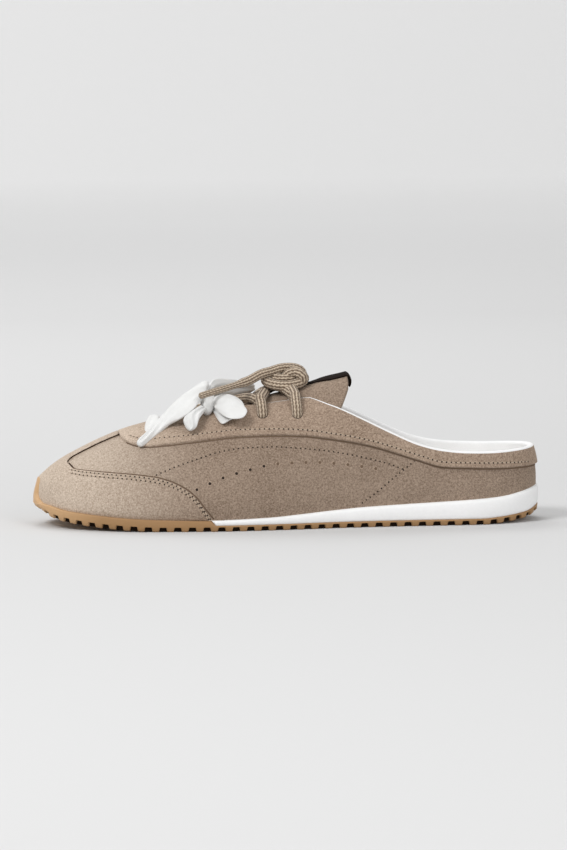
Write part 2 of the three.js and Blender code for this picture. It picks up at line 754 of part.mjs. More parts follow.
// The one loose end of the lace, over the ring and down towards the toe.
const LACE_END = [
  { x: 9.5, y: -1, z: 77 },
  { x: 8, y: 0, z: 80.5 },
  { x: 4, y: -1, z: 82.3 },
  { x: -2, y: -3, z: 82.3 },
  { x: -8, y: -5.5, z: 80.5 },
  { x: -13.5, y: -8, z: 78.5 },
  { x: -20, y: -11, z: 75.5 },
  { x: -27, y: -14, z: 73.5 },
  { x: -37, y: -17.5, z: 71 },
  { x: -47, y: -20, z: 68.3 },
];

const asPoints = (rows) => rows.map(({ x, y, z }) => new THREE.Vector3(x, y, z));

function laceKnot(spare = 0) {
  const ring = cordRing(asPoints(KNOT_RING), LACE / 2 + spare, 12);
  const loop = cord(asPoints(KNOT_LOOP), LACE / 2 + spare, 6);
  return ring.add(loop);
}

const laceEnd = (spare = 0) => cord(asPoints(LACE_END), LACE / 2 + spare, 14);

// Ribbon pieces. Each row is one cut across the ribbon: its edge a, its edge b and how thick the
// ribbon is puffed between them.
const BOW_KNOT = [
  { ax: -45, ay: -8, az: 67, bx: -45.5, by: -11, bz: 61, puff: 4 },
  { ax: -43, ay: -7, az: 68, bx: -43.5, by: -14, bz: 58.5, puff: 7 },
  { ax: -39.5, ay: -7, az: 68, bx: -40.5, by: -14, bz: 58.5, puff: 7 },
  { ax: -38, ay: -8, az: 66.5, bx: -38.5, by: -11, bz: 61, puff: 4 },
];
const BOW_TAIL = [
  { ax: -40, ay: -3, az: 75.5, bx: -42, by: -10, bz: 68.5, puff: 2 },
  { ax: -43.5, ay: -4, az: 74.5, bx: -46.5, by: -16.5, bz: 65, puff: 2.5 },
  { ax: -49.5, ay: -5, az: 71, bx: -51.5, by: -20, bz: 60, puff: 2.5 },
  { ax: -56.5, ay: -5, az: 66, bx: -57, by: -19, bz: 56.5, puff: 2.5 },
  { ax: -63, ay: -6, az: 59.5, bx: -62.5, by: -16, bz: 53.5, puff: 2.5 },
  { ax: -68.5, ay: -10, az: 54, bx: -67.5, by: -18, bz: 49.5, puff: 2.5 },
  { ax: -74, ay: -16.5, az: 49.5, bx: -72, by: -21.5, bz: 46, puff: 3 },
  { ax: -78, ay: -21, az: 47, bx: -76.5, by: -25, bz: 43.5, puff: 3.5 },
  { ax: -80, ay: -23.5, az: 45.5, bx: -79, by: -26, bz: 43, puff: 2.5 },
];
const NEAR_LOOP = [
  { ax: -38.5, ay: -10, az: 66.5, bx: -38.5, by: -12, bz: 62.5, puff: 1.6 },
  { ax: -35.5, ay: -14.5, az: 68.5, bx: -36, by: -23, bz: 59.5, puff: 1.4 },
  { ax: -31.5, ay: -16.5, az: 69, bx: -31, by: -30.5, bz: 57.5, puff: 1.4 },
  { ax: -28, ay: -17.5, az: 68, bx: -25, by: -31.5, bz: 58, puff: 1.4 },
  { ax: -26, ay: -15.5, az: 66.5, bx: -22.5, by: -29.5, bz: 60.5, puff: 1.4 },
  { ax: -27.5, ay: -13, az: 65, bx: -24.5, by: -26.5, bz: 60, puff: 1.4 },
  { ax: -31, ay: -12.5, az: 65.2, bx: -31, by: -26.5, bz: 56.5, puff: 1.4 },
  { ax: -35.5, ay: -11.5, az: 64.5, bx: -35.5, by: -25, bz: 54.5, puff: 1.4 },
  { ax: -38.5, ay: -8, az: 62.5, bx: -38.5, by: -12, bz: 59, puff: 1.6 },
];
const FAR_LOOP = [
  { ax: -41, ay: -3, az: 72, bx: -40.5, by: -5, bz: 68.5, puff: 1.6 },
  { ax: -37, ay: 1, az: 75.5, bx: -35, by: 3, bz: 67, puff: 1.4 },
  { ax: -28.5, ay: 5, az: 75, bx: -26, by: 8, bz: 66, puff: 1.4 },
  { ax: -20.5, ay: 8, az: 73.5, bx: -18, by: 11, bz: 67.5, puff: 1.4 },
  { ax: -16.5, ay: 11.5, az: 72, bx: -15.5, by: 14, bz: 68, puff: 1.4 },
  { ax: -19.5, ay: 14.5, az: 70.5, bx: -18.5, by: 18, bz: 66, puff: 1.4 },
  { ax: -27, ay: 13, az: 70.5, bx: -24.5, by: 18, bz: 65, puff: 1.4 },
  { ax: -35, ay: 8, az: 69.5, bx: -34.5, by: 11, bz: 64, puff: 1.4 },
  { ax: -40, ay: 2, az: 68, bx: -40, by: 2, bz: 64.5, puff: 1.6 },
];
const SHORT_TAIL = [
  { ax: -45.5, ay: -16, az: 63.5, bx: -42.5, by: -15, bz: 61.5, puff: 1.6 },
  { ax: -51, ay: -21, az: 60.5, bx: -45, by: -20.5, bz: 59, puff: 2 },
  { ax: -55, ay: -23.5, az: 57, bx: -47, by: -24.5, bz: 57, puff: 2.4 },
  { ax: -54.5, ay: -25, az: 53.5, bx: -48.5, by: -26, bz: 53, puff: 2.6 },
  { ax: -52.8, ay: -26, az: 51, bx: -51, by: -26.5, bz: 51, puff: 2 },
];
const FAR_TAIL = [
  { ax: -65, ay: -4, az: 53.5, bx: -65.5, by: -12, bz: 49.5, puff: 3 },
  { ax: -67.5, ay: 0, az: 56.5, bx: -70, by: -15, bz: 48, puff: 5.5 },
  { ax: -71.5, ay: -1, az: 56, bx: -74, by: -14, bz: 48.5, puff: 5.5 },
  { ax: -74, ay: -5, az: 54, bx: -75, by: -12, bz: 50, puff: 3.5 },
];

// A piece of ribbon through the rows of its table, grown by a spare on all sides.
function ribbon(rows, steps, spare = 0) {
  const edge = (e) => rows.map((r) => new THREE.Vector3(r[e + "x"], r[e + "y"], r[e + "z"]));
  const a = new THREE.CatmullRomCurve3(edge("a"));
  const b = new THREE.CatmullRomCurve3(edge("b"));
  const puffs = new THREE.CatmullRomCurve3(rows.map((r) => new THREE.Vector3(r.puff, 0, 0)));
  const rings = Array.from({ length: steps + 1 }, (_, i) => {
    const t = i / steps;
    const from = a.getPoint(t);
    const to = b.getPoint(t);
    const run = a.getTangent(t).add(b.getTangent(t)).normalize();
    const wide = to.clone().sub(from);
    const out = new THREE.Vector3().crossVectors(run, wide).normalize();
    const grow = wide.clone().normalize().multiplyScalar(spare);
    const slip = run.clone().multiplyScalar(i === 0 ? -spare : i === steps ? spare : 0);
    const half = puffs.getPoint(t).x / 2 + spare;
    const at = (share, rise) =>
      from.clone().addScaledVector(wide, share).addScaledVector(out, rise * half).add(slip);
    return [
      at(0, 0).sub(grow),
      at(0.25, 1),
      at(0.75, 1),
      at(1, 0).add(grow),
      at(0.75, -1),
      at(0.25, -1),
    ];
  });
  return ringSolid(rings);
}

// The ribbon's pieces, each seated on the suede and clear of the ones before it.
function bowPieces() {
  const shoe = form(GAP + OVERLAY + GAP, 0);
  const tables = {
    ribbon_knot: [BOW_KNOT, 6],
    ribbon_tail: [BOW_TAIL, 10],
    ribbon_near_loop: [NEAR_LOOP, 12],
    ribbon_far_loop: [FAR_LOOP, 12],
    ribbon_short_tail: [SHORT_TAIL, 5],
    ribbon_far_tail: [FAR_TAIL, 5],
  };
  let taken = shoe.add(laceCrossings(GAP)).add(laceEnd(GAP)).add(laceKnot(GAP));
  return Object.entries(tables).map(([name, [rows, steps]]) => {
    const piece = ribbon(rows, steps).subtract(taken);
    taken = taken.add(ribbon(rows, steps, GAP));
    return [name, piece];
  });
}

// Materials, by colour, roughness and metalness.
const SUEDE = new THREE.MeshStandardMaterial({ color: 0x9c8a78, roughness: 0.95, metalness: 0 });
const GUM = new THREE.MeshStandardMaterial({ color: 0xb08a58, roughness: 0.6, metalness: 0 });
const FOAM = new THREE.MeshStandardMaterial({ color: 0xe9e8e6, roughness: 0.6, metalness: 0 });
const LINING = new THREE.MeshStandardMaterial({ color: 0xeeece8, roughness: 0.9, metalness: 0 });
const DARK = new THREE.MeshStandardMaterial({ color: 0x20140b, roughness: 0.7, metalness: 0 });
const CORD = new THREE.MeshStandardMaterial({ color: 0x9a866f, roughness: 0.85, metalness: 0 });
const WHITE = new THREE.MeshStandardMaterial({ color: 0xf2f2f0, roughness: 0.7, metalness: 0 });

function geometryOf(made) {
  const mesh = made.getMesh();
  const geometry = new THREE.BufferGeometry();
  geometry.setAttribute("position", new THREE.BufferAttribute(mesh.vertProperties, mesh.numProp));
  geometry.setIndex(new THREE.BufferAttribute(mesh.triVerts, 1));
  return geometry;
}

function part(name, made, material) {
  const welded = FINEST.map((tolerance) => geometryOf(weld(geometryOf(made), tolerance)));
  const geometry = welded.find(closed) ?? geometryOf(made);
  geometry.computeVertexNormals();
  const piece = new THREE.Mesh(geometry, material);
  piece.name = name;
  return piece;
}

const shoe = new THREE.Group();
shoe.add(
  part("outsole", outsole(), GUM),
  part("midsole", midsole(), FOAM),
  part("upper", upper(), SUEDE),
  part("toe_cap", toeCap(), SUEDE),
  part("eyestay_band", eyestayBand(), SUEDE),
  part("tongue", tongue(), SUEDE),
  part("tongue_label", tongueLabel(), DARK),
  part("insole", insole(), LINING),
  part("lace_crossings", laceCrossings(), CORD),
  part("lace_knot", laceKnot().subtract(laceCrossings(GAP)), CORD),
  part("lace_end", laceEnd().subtract(laceKnot(GAP)), CORD),
  ...bowPieces().map(([name, made]) => part(name, made, WHITE)),
);

export default shoe;
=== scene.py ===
"""A taupe suede sneaker mule with a gum outsole, a white midsole wedge, laces and a ribbon bow."""
import math

import bmesh
import bpy
import numpy as np
from mathutils import Matrix, Vector


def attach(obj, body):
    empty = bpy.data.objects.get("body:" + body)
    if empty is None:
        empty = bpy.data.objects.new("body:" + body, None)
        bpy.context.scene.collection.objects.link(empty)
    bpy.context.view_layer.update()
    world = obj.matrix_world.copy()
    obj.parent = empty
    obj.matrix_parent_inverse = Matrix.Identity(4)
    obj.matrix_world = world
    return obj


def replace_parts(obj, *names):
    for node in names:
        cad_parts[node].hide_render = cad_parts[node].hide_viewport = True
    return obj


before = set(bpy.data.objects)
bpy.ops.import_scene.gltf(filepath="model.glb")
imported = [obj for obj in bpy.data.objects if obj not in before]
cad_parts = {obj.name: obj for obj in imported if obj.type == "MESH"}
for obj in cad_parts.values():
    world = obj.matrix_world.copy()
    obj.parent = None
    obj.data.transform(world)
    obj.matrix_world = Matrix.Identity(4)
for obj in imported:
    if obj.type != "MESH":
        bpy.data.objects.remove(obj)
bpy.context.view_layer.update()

MM = 0.001
IMAGE = (567, 850)

# Sizes of the shoe in millimetres: those of the part's source, with a few fitted to what is seen.
LENGTH = 266.0
BALL_WIDTH = 90.0
INSTEP_HEIGHT = 74.0
COLLAR_HEIGHT = 37.0
HEEL_STACK = 13.0
TOE_SPRING = 9.5
HEEL_SPRING = 5.5
WALL = 2.0
OVERLAY = 1.2
GAP = 0.3
TONGUE = 3.0
TONGUE_ARCH = 2.4
TONGUE_START, TONGUE_END = 0.207, 0.6155
LABEL_START, LABEL_END = 0.535, 0.6165
LABEL_FOLD = math.radians(140)
SIDE_INSET = 2.0
SKIRT = 1.2
TUCK = 1.2
TUCK_SHARE = 0.12
EDGE_ROLL = 0.8
EDGE_DIP = 0.12
LINING_EDGE = 1.1
ON_OVERLAY = GAP + OVERLAY
HEEL_LEAN = 2.25
LEAN_FROM = 0.6
LEAN_BACK = 0.12
RIDGE_SHIFT = 3.0
OUTSOLE = 3.0
LUG_HEIGHT = 2.3
LUG_SLOT = 3.5
LUG_PITCH = 7.6
LUG_DEPTH = 9.0
SLOT_EDGE = 0.4
POINTS_PER_LUG = 14
BUMPER = 2.0
THROAT_WIDTH = 39.0
THROAT_FRONT = 0.228
THROAT_BACK = 0.6
COLLAR_FRONT = 0.51
TOE_INSET = BUMPER + GAP + OVERLAY + GAP
HEEL_INSET = 0.8
LAST_LENGTH = LENGTH - TOE_INSET - HEEL_INSET
HOLE_SETBACK = 6.2
MIDSOLE_FRONT = 0.341
LACE = 5.0
AROUND_LACE = 28
TOE_CURL = 1.6
TOE_CURL_REACH = 0.06
TAB_HALF = 5.5
TAB_FLARE = 8.0
TAB_TOP = 28.0
TAB_FOOT = 17.0
TAB_SIDE = 3.0
TAB_FADE = 14.0
TOE_ROUND = (0.225, 2.1)
HEEL_ROUND = (0.16, 2.2)

# Each table's rows start with the share of the length from the toe, as in the part's source.
# The lateral and medial half widths, as shares of the ball width.
PLAN = [
    (0.0, 0.38, 0.46), (0.1, 0.425, 0.475), (0.2, 0.468, 0.49), (0.27, 0.485, 0.5), (0.36, 0.5, 0.47),
    (0.48, 0.465, 0.375), (0.6, 0.4, 0.305), (0.72, 0.365, 0.315), (0.85, 0.35, 0.35),
    (1.0, 0.34, 0.345),
]
# How much of the toe's spring and of the heel's spring the tread has.
TREAD = [
    (0.0, 1.0, 0.0), (0.011, 0.88, 0.0), (0.029, 0.6, 0.0), (0.074, 0.35, 0.0), (0.12, 0.2, 0.0),
    (0.18, 0.08, 0.0), (0.26, 0.0, 0.0), (0.88, 0.0, 0.0), (0.912, 0.0, 0.1), (0.948, 0.0, 0.29),
    (0.975, 0.0, 0.5), (1.0, 0.0, 1.0),
]
# The line where the upper meets the sole, by heel stack.
FEATHER = [
    (0.0, 0.96), (0.02, 0.93), (0.054, 0.77), (0.114, 0.64), (0.17, 0.55), (0.232, 0.485),
    (0.353, 0.43), (0.45, 0.48), (0.529, 0.595), (0.59, 0.7), (0.641, 0.78), (0.7, 0.84), (0.786, 0.92),
    (0.865, 1.0), (0.924, 1.09), (0.963, 1.23), (1.0, 1.42),
]
# The ridge's height by instep, the section's fullness, and the ridge's shift to the medial side.
RIDGE = [
    (0.0, 0.25, 2.6, 0.0), (0.012, 0.312, 2.6, 0.0), (0.026, 0.36, 2.6, 0.0), (0.041, 0.405, 2.6, 0.1),
    (0.063, 0.458, 2.5, 0.2), (0.089, 0.508, 2.4, 0.3), (0.139, 0.594, 2.3, 0.5),
    (0.185, 0.658, 2.2, 0.7), (0.217, 0.69, 2.2, 0.8), (0.27, 0.735, 2.1, 1.0), (0.37, 0.827, 2.1, 1.0),
    (0.43, 0.877, 2.2, 1.0), (0.51, 0.945, 2.2, 1.0), (0.56, 1.0, 2.2, 0.8), (0.62, 1.09, 2.3, 0.6),
    (0.7, 1.18, 2.4, 0.3), (0.85, 1.25, 2.4, 0.0), (1.0, 1.26, 2.4, 0.0),
]
# The collar's edge, by collar height.
COLLAR = [
    (0.5, 2.6), (0.522, 1.95), (0.538, 1.79), (0.5525, 1.758), (0.572, 1.709), (0.598, 1.643),
    (0.647, 1.483), (0.699, 1.303), (0.754, 1.131), (0.8, 1.048), (0.845, 1.014), (0.895, 1.005),
    (0.95, 1.02), (1.03, 1.06),
]
# Half the throat's width, by throat width.
THROAT = [
    (0.228, 0.0), (0.231, 0.14), (0.238, 0.19), (0.25, 0.215), (0.35, 0.295), (0.43, 0.354),
    (0.49, 0.39), (0.53, 0.402), (0.62, 0.45),
]
# The upper edge of the cap's wings and the lower edge of the band, by instep.
CAP_EDGE = [
    (0.061, 0.433), (0.071, 0.416), (0.098, 0.407), (0.126, 0.403), (0.182, 0.393), (0.228, 0.377),
    (0.259, 0.35), (0.288, 0.303), (0.312, 0.235), (0.328, 0.159), (0.346, 0.079), (0.361, 0.02),
]
BAND_EDGE = [
    (0.17, 0.635), (0.176, 0.612), (0.188, 0.594), (0.205, 0.58), (0.223, 0.576), (0.248, 0.583),
    (0.3, 0.603), (0.349, 0.625), (0.4, 0.645), (0.475, 0.652), (0.526, 0.646), (0.572, 0.626),
    (0.623, 0.597), (0.673, 0.555), (0.71, 0.513), (0.755, 0.46), (0.8, 0.413), (0.845, 0.404),
    (0.936, 0.394), (1.03, 0.398),
]
# Half the tongue's width, by throat width.
TONGUE_PLAN = [
    (0.205, 0.36), (0.215, 0.45), (0.35, 0.5), (0.5, 0.57), (0.57, 0.62), (0.59, 0.6), (0.602, 0.53),
    (0.612, 0.42), (0.62, 0.26),
]


def curve(rows, column):
    """A smooth curve through a table's column that never swings past its rows.

    Each span is a cubic whose end slopes are the harmonic means of the slopes beside them.
    """
    x = np.array([row[0] for row in rows])
    y = np.array([row[column] for row in rows])
    rise = np.diff(y) / np.diff(x)
    product = rise[:-1] * rise[1:]
    total = np.where(product > 0, rise[:-1] + rise[1:], 1.0)
    middle_slopes = np.where(product > 0, 2 * product / total, 0.0)
    slope = np.concatenate([rise[:1], middle_slopes, rise[-1:]])

    def value(at):
        at = np.clip(np.asarray(at, dtype=float), x[0], x[-1])
        i = np.clip(np.searchsorted(x, at, side="right") - 1, 0, len(x) - 2)
        h = x[i + 1] - x[i]
        t = (at - x[i]) / h
        s = 1 - t
        return (
            y[i] * (1 + 2 * t) * s * s
            + slope[i] * h * t * s * s
            + y[i + 1] * (3 - 2 * t) * t * t
            - slope[i + 1] * h * t * t * s
        )

    return value


def ramp(value, start, width):
    """0 up to the start, 1 from a width past it, straight between."""
    return np.clip((value - start) / width, 0, 1)


def rounded(t):
    """The rise of a quarter circle, as t runs from 0 to 1."""
    return np.sqrt(np.maximum(1 - (1 - t) ** 2, 0))


def walked_along(points):
    """The length walked along a line to each of its points."""
    return np.concatenate([[0], np.cumsum(np.linalg.norm(np.diff(points, axis=0), axis=1))])


def at_lengths(steps, walked, values):
    """Rows of three values, read off at some lengths along a line."""
    return np.stack([np.interp(steps, walked, values[:, k]) for k in range(3)], axis=-1)


def denser(line):
    """Eight points for each span of a line."""
    fine = np.linspace(0, 1, 8)[None, :, None]
    return (line[:-1, None] * (1 - fine) + line[1:, None] * fine).reshape(-1, 3)


lateral, medial = curve(PLAN, 1), curve(PLAN, 2)
tread_toe, tread_heel = curve(TREAD, 1), curve(TREAD, 2)
feather_rise, collar_rise = curve(FEATHER, 1), curve(COLLAR, 1)
ridge_rise, fullness, ridge_medial = curve(RIDGE, 1), curve(RIDGE, 2), curve(RIDGE, 3)
throat_half, tongue_half = curve(THROAT, 1), curve(TONGUE_PLAN, 1)
cap_rise, band_rise = curve(CAP_EDGE, 1), curve(BAND_EDGE, 1)


def along(at):
    """The place along the shoe of a share of its length, 0 at the middle."""
    return (np.asarray(at) - 0.5) * LENGTH


def share_of(x):
    """The share of the length at a place along the shoe."""
    return np.asarray(x) / LENGTH + 0.5


def tread_height(at):
    """The tread's height: the toe's spring and the heel's, each by its own curve."""
    return TOE_SPRING * tread_toe(at) + HEEL_SPRING * tread_heel(at)


def feather_height(at):
    """The height where the upper meets the sole."""
    return HEEL_STACK * feather_rise(at)


def ridge_height(at):
    """The height of the last's ridge."""
    return INSTEP_HEIGHT * ridge_rise(at)


def middle(at):
    """The sole's middle line: half the difference between its two half widths."""
    return (medial(at) - lateral(at)) / 2 * BALL_WIDTH


def half_width(at):
    """Half the sole's width: the mean of its two half widths."""
    return (medial(at) + lateral(at)) / 2 * BALL_WIDTH


def round_end(distance, reach, power):
    """A quarter of a superellipse that rises from 0 to 1 over a reach."""
    t = np.clip(1 - distance / reach, 0, 1)
    return (1 - t**power) ** (1 / power)


def round_ends(at):
    """The share of the full width left by the rounding of toe and heel."""
    return round_end(at, *TOE_ROUND) * round_end(1 - at, *HEEL_ROUND)


def ridge_line(at):
    """Where the ridge lies across: the middle line, moved to the medial side."""
    return middle(at) + RIDGE_SHIFT * ridge_medial(at)


def end_of(at):
    """The end parameter whose place along the last is a share of the sole's length."""
    share = (along(at) - along(0) - TOE_INSET) / LAST_LENGTH
    return np.arccos(1 - 2 * np.clip(share, 0, 1)) / math.pi


def last_point(end, up, side):
    """A point of the last: along by a cosine of end, up its section by a sine of up.

    The section's width is the square root of one less the height share to its fullness.
    """
    share = (1 - np.cos(math.pi * np.clip(end, 0, 1))) / 2
    x = along(0) + TOE_INSET + share * LAST_LENGTH
    at = share_of(x)
    ends = round_ends(share)
    foot = feather_height(at)
    height = np.sin(math.pi / 2 * up)
    z = foot + height * (ridge_height(at) - foot)
    edge = middle(at) + side * (half_width(at) - SIDE_INSET) * ends
    ridge = middle(at) + RIDGE_SHIFT * ridge_medial(at) * ends
    wide = np.sqrt(np.maximum(0, 1 - np.maximum(height, 0) ** fullness(at)))
    tuck = TUCK * np.clip(1 - height / TUCK_SHARE, 0, 1) ** 2 * ends
    y = ridge + (edge - ridge) * wide - side * tuck
    lean = np.clip((z / COLLAR_HEIGHT - LEAN_FROM) / (1 - LEAN_FROM), 0, 1.5)
    back = ramp(at, 1 - LEAN_BACK, LEAN_BACK)
    x, y, z = np.broadcast_arrays(x - HEEL_LEAN * lean**2 * back**2, y, z)
    return np.stack([x, y, z], axis=-1)


def unit(v):
    """Vectors divided by their lengths."""
    return v / np.maximum(np.linalg.norm(v, axis=-1, keepdims=True), 1e-12)


def last_normal(end, up, side):
    """The outward direction of the last, from differences along both of its parameters."""
    step = 0.004
    end, up, side = np.broadcast_arrays(end, up, side)
    e = np.clip(end, 3 * step, 1 - 3 * step)
    u = np.clip(up, step, 1 - 3 * step)
    a = last_point(e + step, u, side) - last_point(e - step, u, side)
    b = last_point(e, u + step, side) - last_point(e, u - step, side)
    out = unit(-side[..., None] * np.cross(a, b))
    level = (end < step) | (end > 1 - step) | (up > 1 - step)
    out[..., 1] = np.where(level, 0, out[..., 1])
    out[..., 2] = np.where(up < step, 0, out[..., 2])
    return unit(out)


def raised(end, up, side, lift):
    """A point of the last, moved outwards by a lift."""
    return last_point(end, up, side) + np.asarray(lift)[..., None] * last_normal(end, up, side)


def skin(at, up, side, lift=0.0):
    """A point a lift above the last, at a share of the sole's length."""
    return raised(end_of(at), up, side, lift)


def skin_normal(at, up, side):
    """The outward direction of the last, at a share of the sole's length."""
    return last_normal(end_of(at), up, side)


def up_at_height(at, z):
    """How far up the section a height lies: the inverse of the section's sine."""
    foot = feather_height(at)
    share = np.clip((z - foot) / (ridge_height(at) - foot), 0, 1)
    return 2 / math.pi * np.arcsin(share)


def up_at_half(at, half, side):
    """How far up the section lies at a distance from the ridge line, in plan."""
    reach = np.abs(middle(at) + side * (half_width(at) - SIDE_INSET) * round_ends(at) - ridge_line(at))
    wide = np.clip(half / np.maximum(reach, 1e-6), 0, 1)
    return 2 / math.pi * np.arcsin((1 - wide**2) ** (1 / fullness(at)))


def opening_up(at, side):
    """How far up each section runs before the throat or the collar cuts it."""
    throat = up_at_half(at, throat_half(at) * THROAT_WIDTH, side)
    throat = np.where((at < THROAT_FRONT) | (at > THROAT_BACK), 1.0, throat)
    collar = up_at_height(at, COLLAR_HEIGHT * collar_rise(at))
    collar = np.where(at < COLLAR_FRONT, 1.0, collar)
    return np.minimum(throat, collar)


# Meshes from arrays.
def mesh_object(name, points, faces, material, uv=None, merge=1e-6):
    """An object at the origin from points in millimetres and faces, its near points merged."""
    mesh = bpy.data.meshes.new(name)
    mesh.from_pydata((np.asarray(points) * MM).tolist(), [], np.asarray(faces).tolist())
    if uv is not None:
        layer = mesh.uv_layers.new(name="UVMap")
        loops = np.empty(len(mesh.loops), dtype=np.int32)
        mesh.loops.foreach_get("vertex_index", loops)
        layer.data.foreach_set("uv", np.asarray(uv, dtype=np.float32)[loops].ravel())
    if merge:
        work = bmesh.new()
        work.from_mesh(mesh)
        bmesh.ops.remove_doubles(work, verts=work.verts, dist=merge)
        bmesh.ops.dissolve_degenerate(work, edges=work.edges, dist=merge)
        work.to_mesh(mesh)
        work.free()
    mesh.polygons.foreach_set("use_smooth", np.full(len(mesh.polygons), True))
    mesh.materials.append(material)
    mesh.update()
    piece = bpy.data.objects.new(name, mesh)
    bpy.context.scene.collection.objects.link(piece)
    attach(piece, "root")
    return piece


def face_outwards(piece):
    """Turns the faces of a closed piece outwards."""
    work = bmesh.new()
    work.from_mesh(piece.data)
    bmesh.ops.recalc_face_normals(work, faces=work.faces)
    work.to_mesh(piece.data)
    work.free()


def grid_faces(rows, columns, start=0, flip=False, wrap=False):
    """Quads between neighbouring rows and columns of a grid of points."""
    i = np.arange(rows - 1)[:, None]
    j = np.arange(columns if wrap else columns - 1)[None, :]
    a = start + i * columns + j
    b = start + i * columns + (j + 1) % columns
    quads = np.stack([a, b, b + columns, a + columns], axis=-1).reshape(-1, 4)
    return quads[:, ::-1] if flip else quads


def sheets(name, grids, material, keep=None):
    """One mesh from several grids of points, each (points, flip), or those faces that keep picks."""
    points, faces, start = [], [], 0
    for grid, flip in grids:
        rows, columns = grid.shape[:2]
        points.append(grid.reshape(-1, 3))
        faces.append(grid_faces(rows, columns, start, flip))
        start += rows * columns
    faces = np.concatenate(faces)
    if keep:
        faces = faces[keep(faces)]
    return mesh_object(name, np.concatenate(points), faces, material)


def toward(count, power=1.0):
    """Shares from 0 to 1, closer together at 1 as the power grows."""
    return 1 - (1 - np.linspace(0, 1, count)) ** power


# Materials.
class Socket:
    """A shader socket that takes arithmetic: each operation adds one Math node."""

    def __init__(self, tree, socket):
        self.tree = tree
        self.socket = socket

    def _math(self, operation, *values):
        return self.tree.add("ShaderNodeMath", {"operation": operation}, *values)

    def __add__(self, other):
        return self._math("ADD", self, other)

    def __sub__(self, other):
        return self._math("SUBTRACT", self, other)

    def __rsub__(self, other):
        return self._math("SUBTRACT", other, self)

    def __mul__(self, other):
        return self._math("MULTIPLY", self, other)

    def __truediv__(self, other):
        return self._math("DIVIDE", self, other)

    __radd__ = __add__
    __rmul__ = __mul__

    def clamp(self):
        """The value kept between 0 and 1."""
        return self._math("MINIMUM", self._math("MAXIMUM", self, 0.0), 1.0)

    def above(self, edge, soft):
        """0 below the edge and 1 above it, over a soft width."""
        return ((self - (edge - soft)) / (2 * soft)).clamp()

    def sine(self):
        """The value's sine."""
        return self._math("SINE", self)


class Finish:
    """A material whose nodes are added by one method."""

    def __init__(self, name, **constants):
        self.material = bpy.data.materials.new(name)
        self.material.use_nodes = True
        self.nodes = self.material.node_tree.nodes
        self.links = self.material.node_tree.links
        self.shader = self.nodes["Principled BSDF"]
        for socket, value in constants.items():
            self.shader.inputs[socket.replace("_", " ")].default_value = value

    def add(self, kind, settings, *values, out=0, **named):
        """A node of a kind: its settings first, then the values or links of its sockets."""
        node = self.nodes.new(kind)
        for key, value in settings.items():
            setattr(node, key, value)
        for index, value in enumerate(values):
            self.put(node.inputs[index], value)
        for key, value in named.items():
            self.put(node.inputs[key.replace("_", " ")], value)
        return Socket(self, node.outputs[out])

    def put(self, socket, value):
        """Gives a socket a link or a fixed value."""
        if isinstance(value, Socket):
            self.links.new(value.socket, socket)
        else:
            socket.default_value = value

    def feed(self, socket, value):
        """Gives a link or a value to the shader."""
        self.put(self.shader.inputs[socket], value)

    def place(self):
        """The place in the object's own space."""
        return self.add("ShaderNodeTexCoord", {}, out="Object")

    def uv(self):
        """The place on the piece's UV map."""
        return self.add("ShaderNodeUVMap", {"uv_map": "UVMap"})

    def axis(self, vector, name):
        """One part of a vector."""
        return self.add("ShaderNodeSeparateXYZ", {}, vector, out=name)

    def noise(self, where, scale, detail=2.0, rough=0.5):
        """Smooth noise about a half, with so many cells to the metre."""
        inputs = {"Vector": where, "Scale": scale, "Detail": detail, "Roughness": rough}
        return self.add("ShaderNodeTexNoise", {"noise_dimensions": "3D"}, **inputs)

    def blend(self, share, first, second):
        """A colour between two, by a share."""
        node = self.nodes.new("ShaderNodeMix")
        node.data_type = "RGBA"
        self.put(node.inputs[0], share)
        self.put(node.inputs[6], first)
        self.put(node.inputs[7], second)
        return Socket(self, node.outputs[2])

    def bump(self, height, distance, strength, under=None):
        """A normal tilted by a height, over the normal under it."""
        inputs = {"Height": height, "Distance": distance, "Strength": strength}
        if under:
            inputs["Normal"] = under
        return self.add("ShaderNodeBump", {}, **inputs)


def linear(red, green, blue):
    """A display colour, 0 to 255, as scene linear with full alpha."""
    c = np.array([red, green, blue]) / 255
    low = c / 12.92
    high = ((c + 0.055) / 1.055) ** 2.4
    return (*np.where(c <= 0.04045, low, high).tolist(), 1.0)


# Where the suede and the gum start to turn lighter towards the toe, and over what length, in metres:
# painted light where the lamp from the left falls on the toe, for the suede partly a lighter nap as
# well.
NAP_AND_LIGHT_TURNS, NAP_AND_LIGHT_FADE = -0.122, 0.085
GUM_LIGHT_TURNS, GUM_LIGHT_FADE = -0.098, 0.034


def suede_finish(name, tone=1.0):
    """Napped suede: fine fibres in speckles, and soft patches where the nap lies another way.

    The suede is lighter over the toe and darker along the quarter: painted light where the lamp from the
    left falls on the toe, partly a lighter nap.
    """
    f = Finish(name, Sheen_Weight=0.2, Sheen_Roughness=0.5, Specular_IOR_Level=0.12)
    f.shader.inputs["Sheen Tint"].default_value = linear(235, 222, 205)
    where = f.place()
    patches = f.noise(where, 28.0, 3.0)
    fibres = f.noise(where, 2400.0, 2.0, 0.7)
    grain = f.noise(where, 1100.0, 2.0, 0.7)
    # Painted light: the toe's share, lighter where the lamp from the left falls on the toe, partly a
    # lighter nap.
    toe = 1.0 - ((f.axis(where, "X") - NAP_AND_LIGHT_TURNS) / NAP_AND_LIGHT_FADE + (patches - 0.5) * 0.3).clamp()
    toe = toe * toe * (3.0 - 2.0 * toe)
    toned = lambda *colour: linear(*(tone * part for part in colour))
    dark = f.blend(toe, toned(106, 88, 73), toned(154, 136, 119))
    light = f.blend(toe, toned(173, 154, 137), toned(215, 200, 184))
    share = (patches * 0.5 + grain * 1.7 + fibres * 1.2 - 1.23).clamp()
    f.feed("Base Color", f.blend(share, dark, light))
    f.feed("Roughness", 0.96 - patches * 0.06)
    coarse = f.bump(patches, 0.0008, 0.4)
    f.feed("Normal", f.bump(grain * 0.6 + fibres * 0.4, 0.0005, 0.85, coarse))
    return f.material


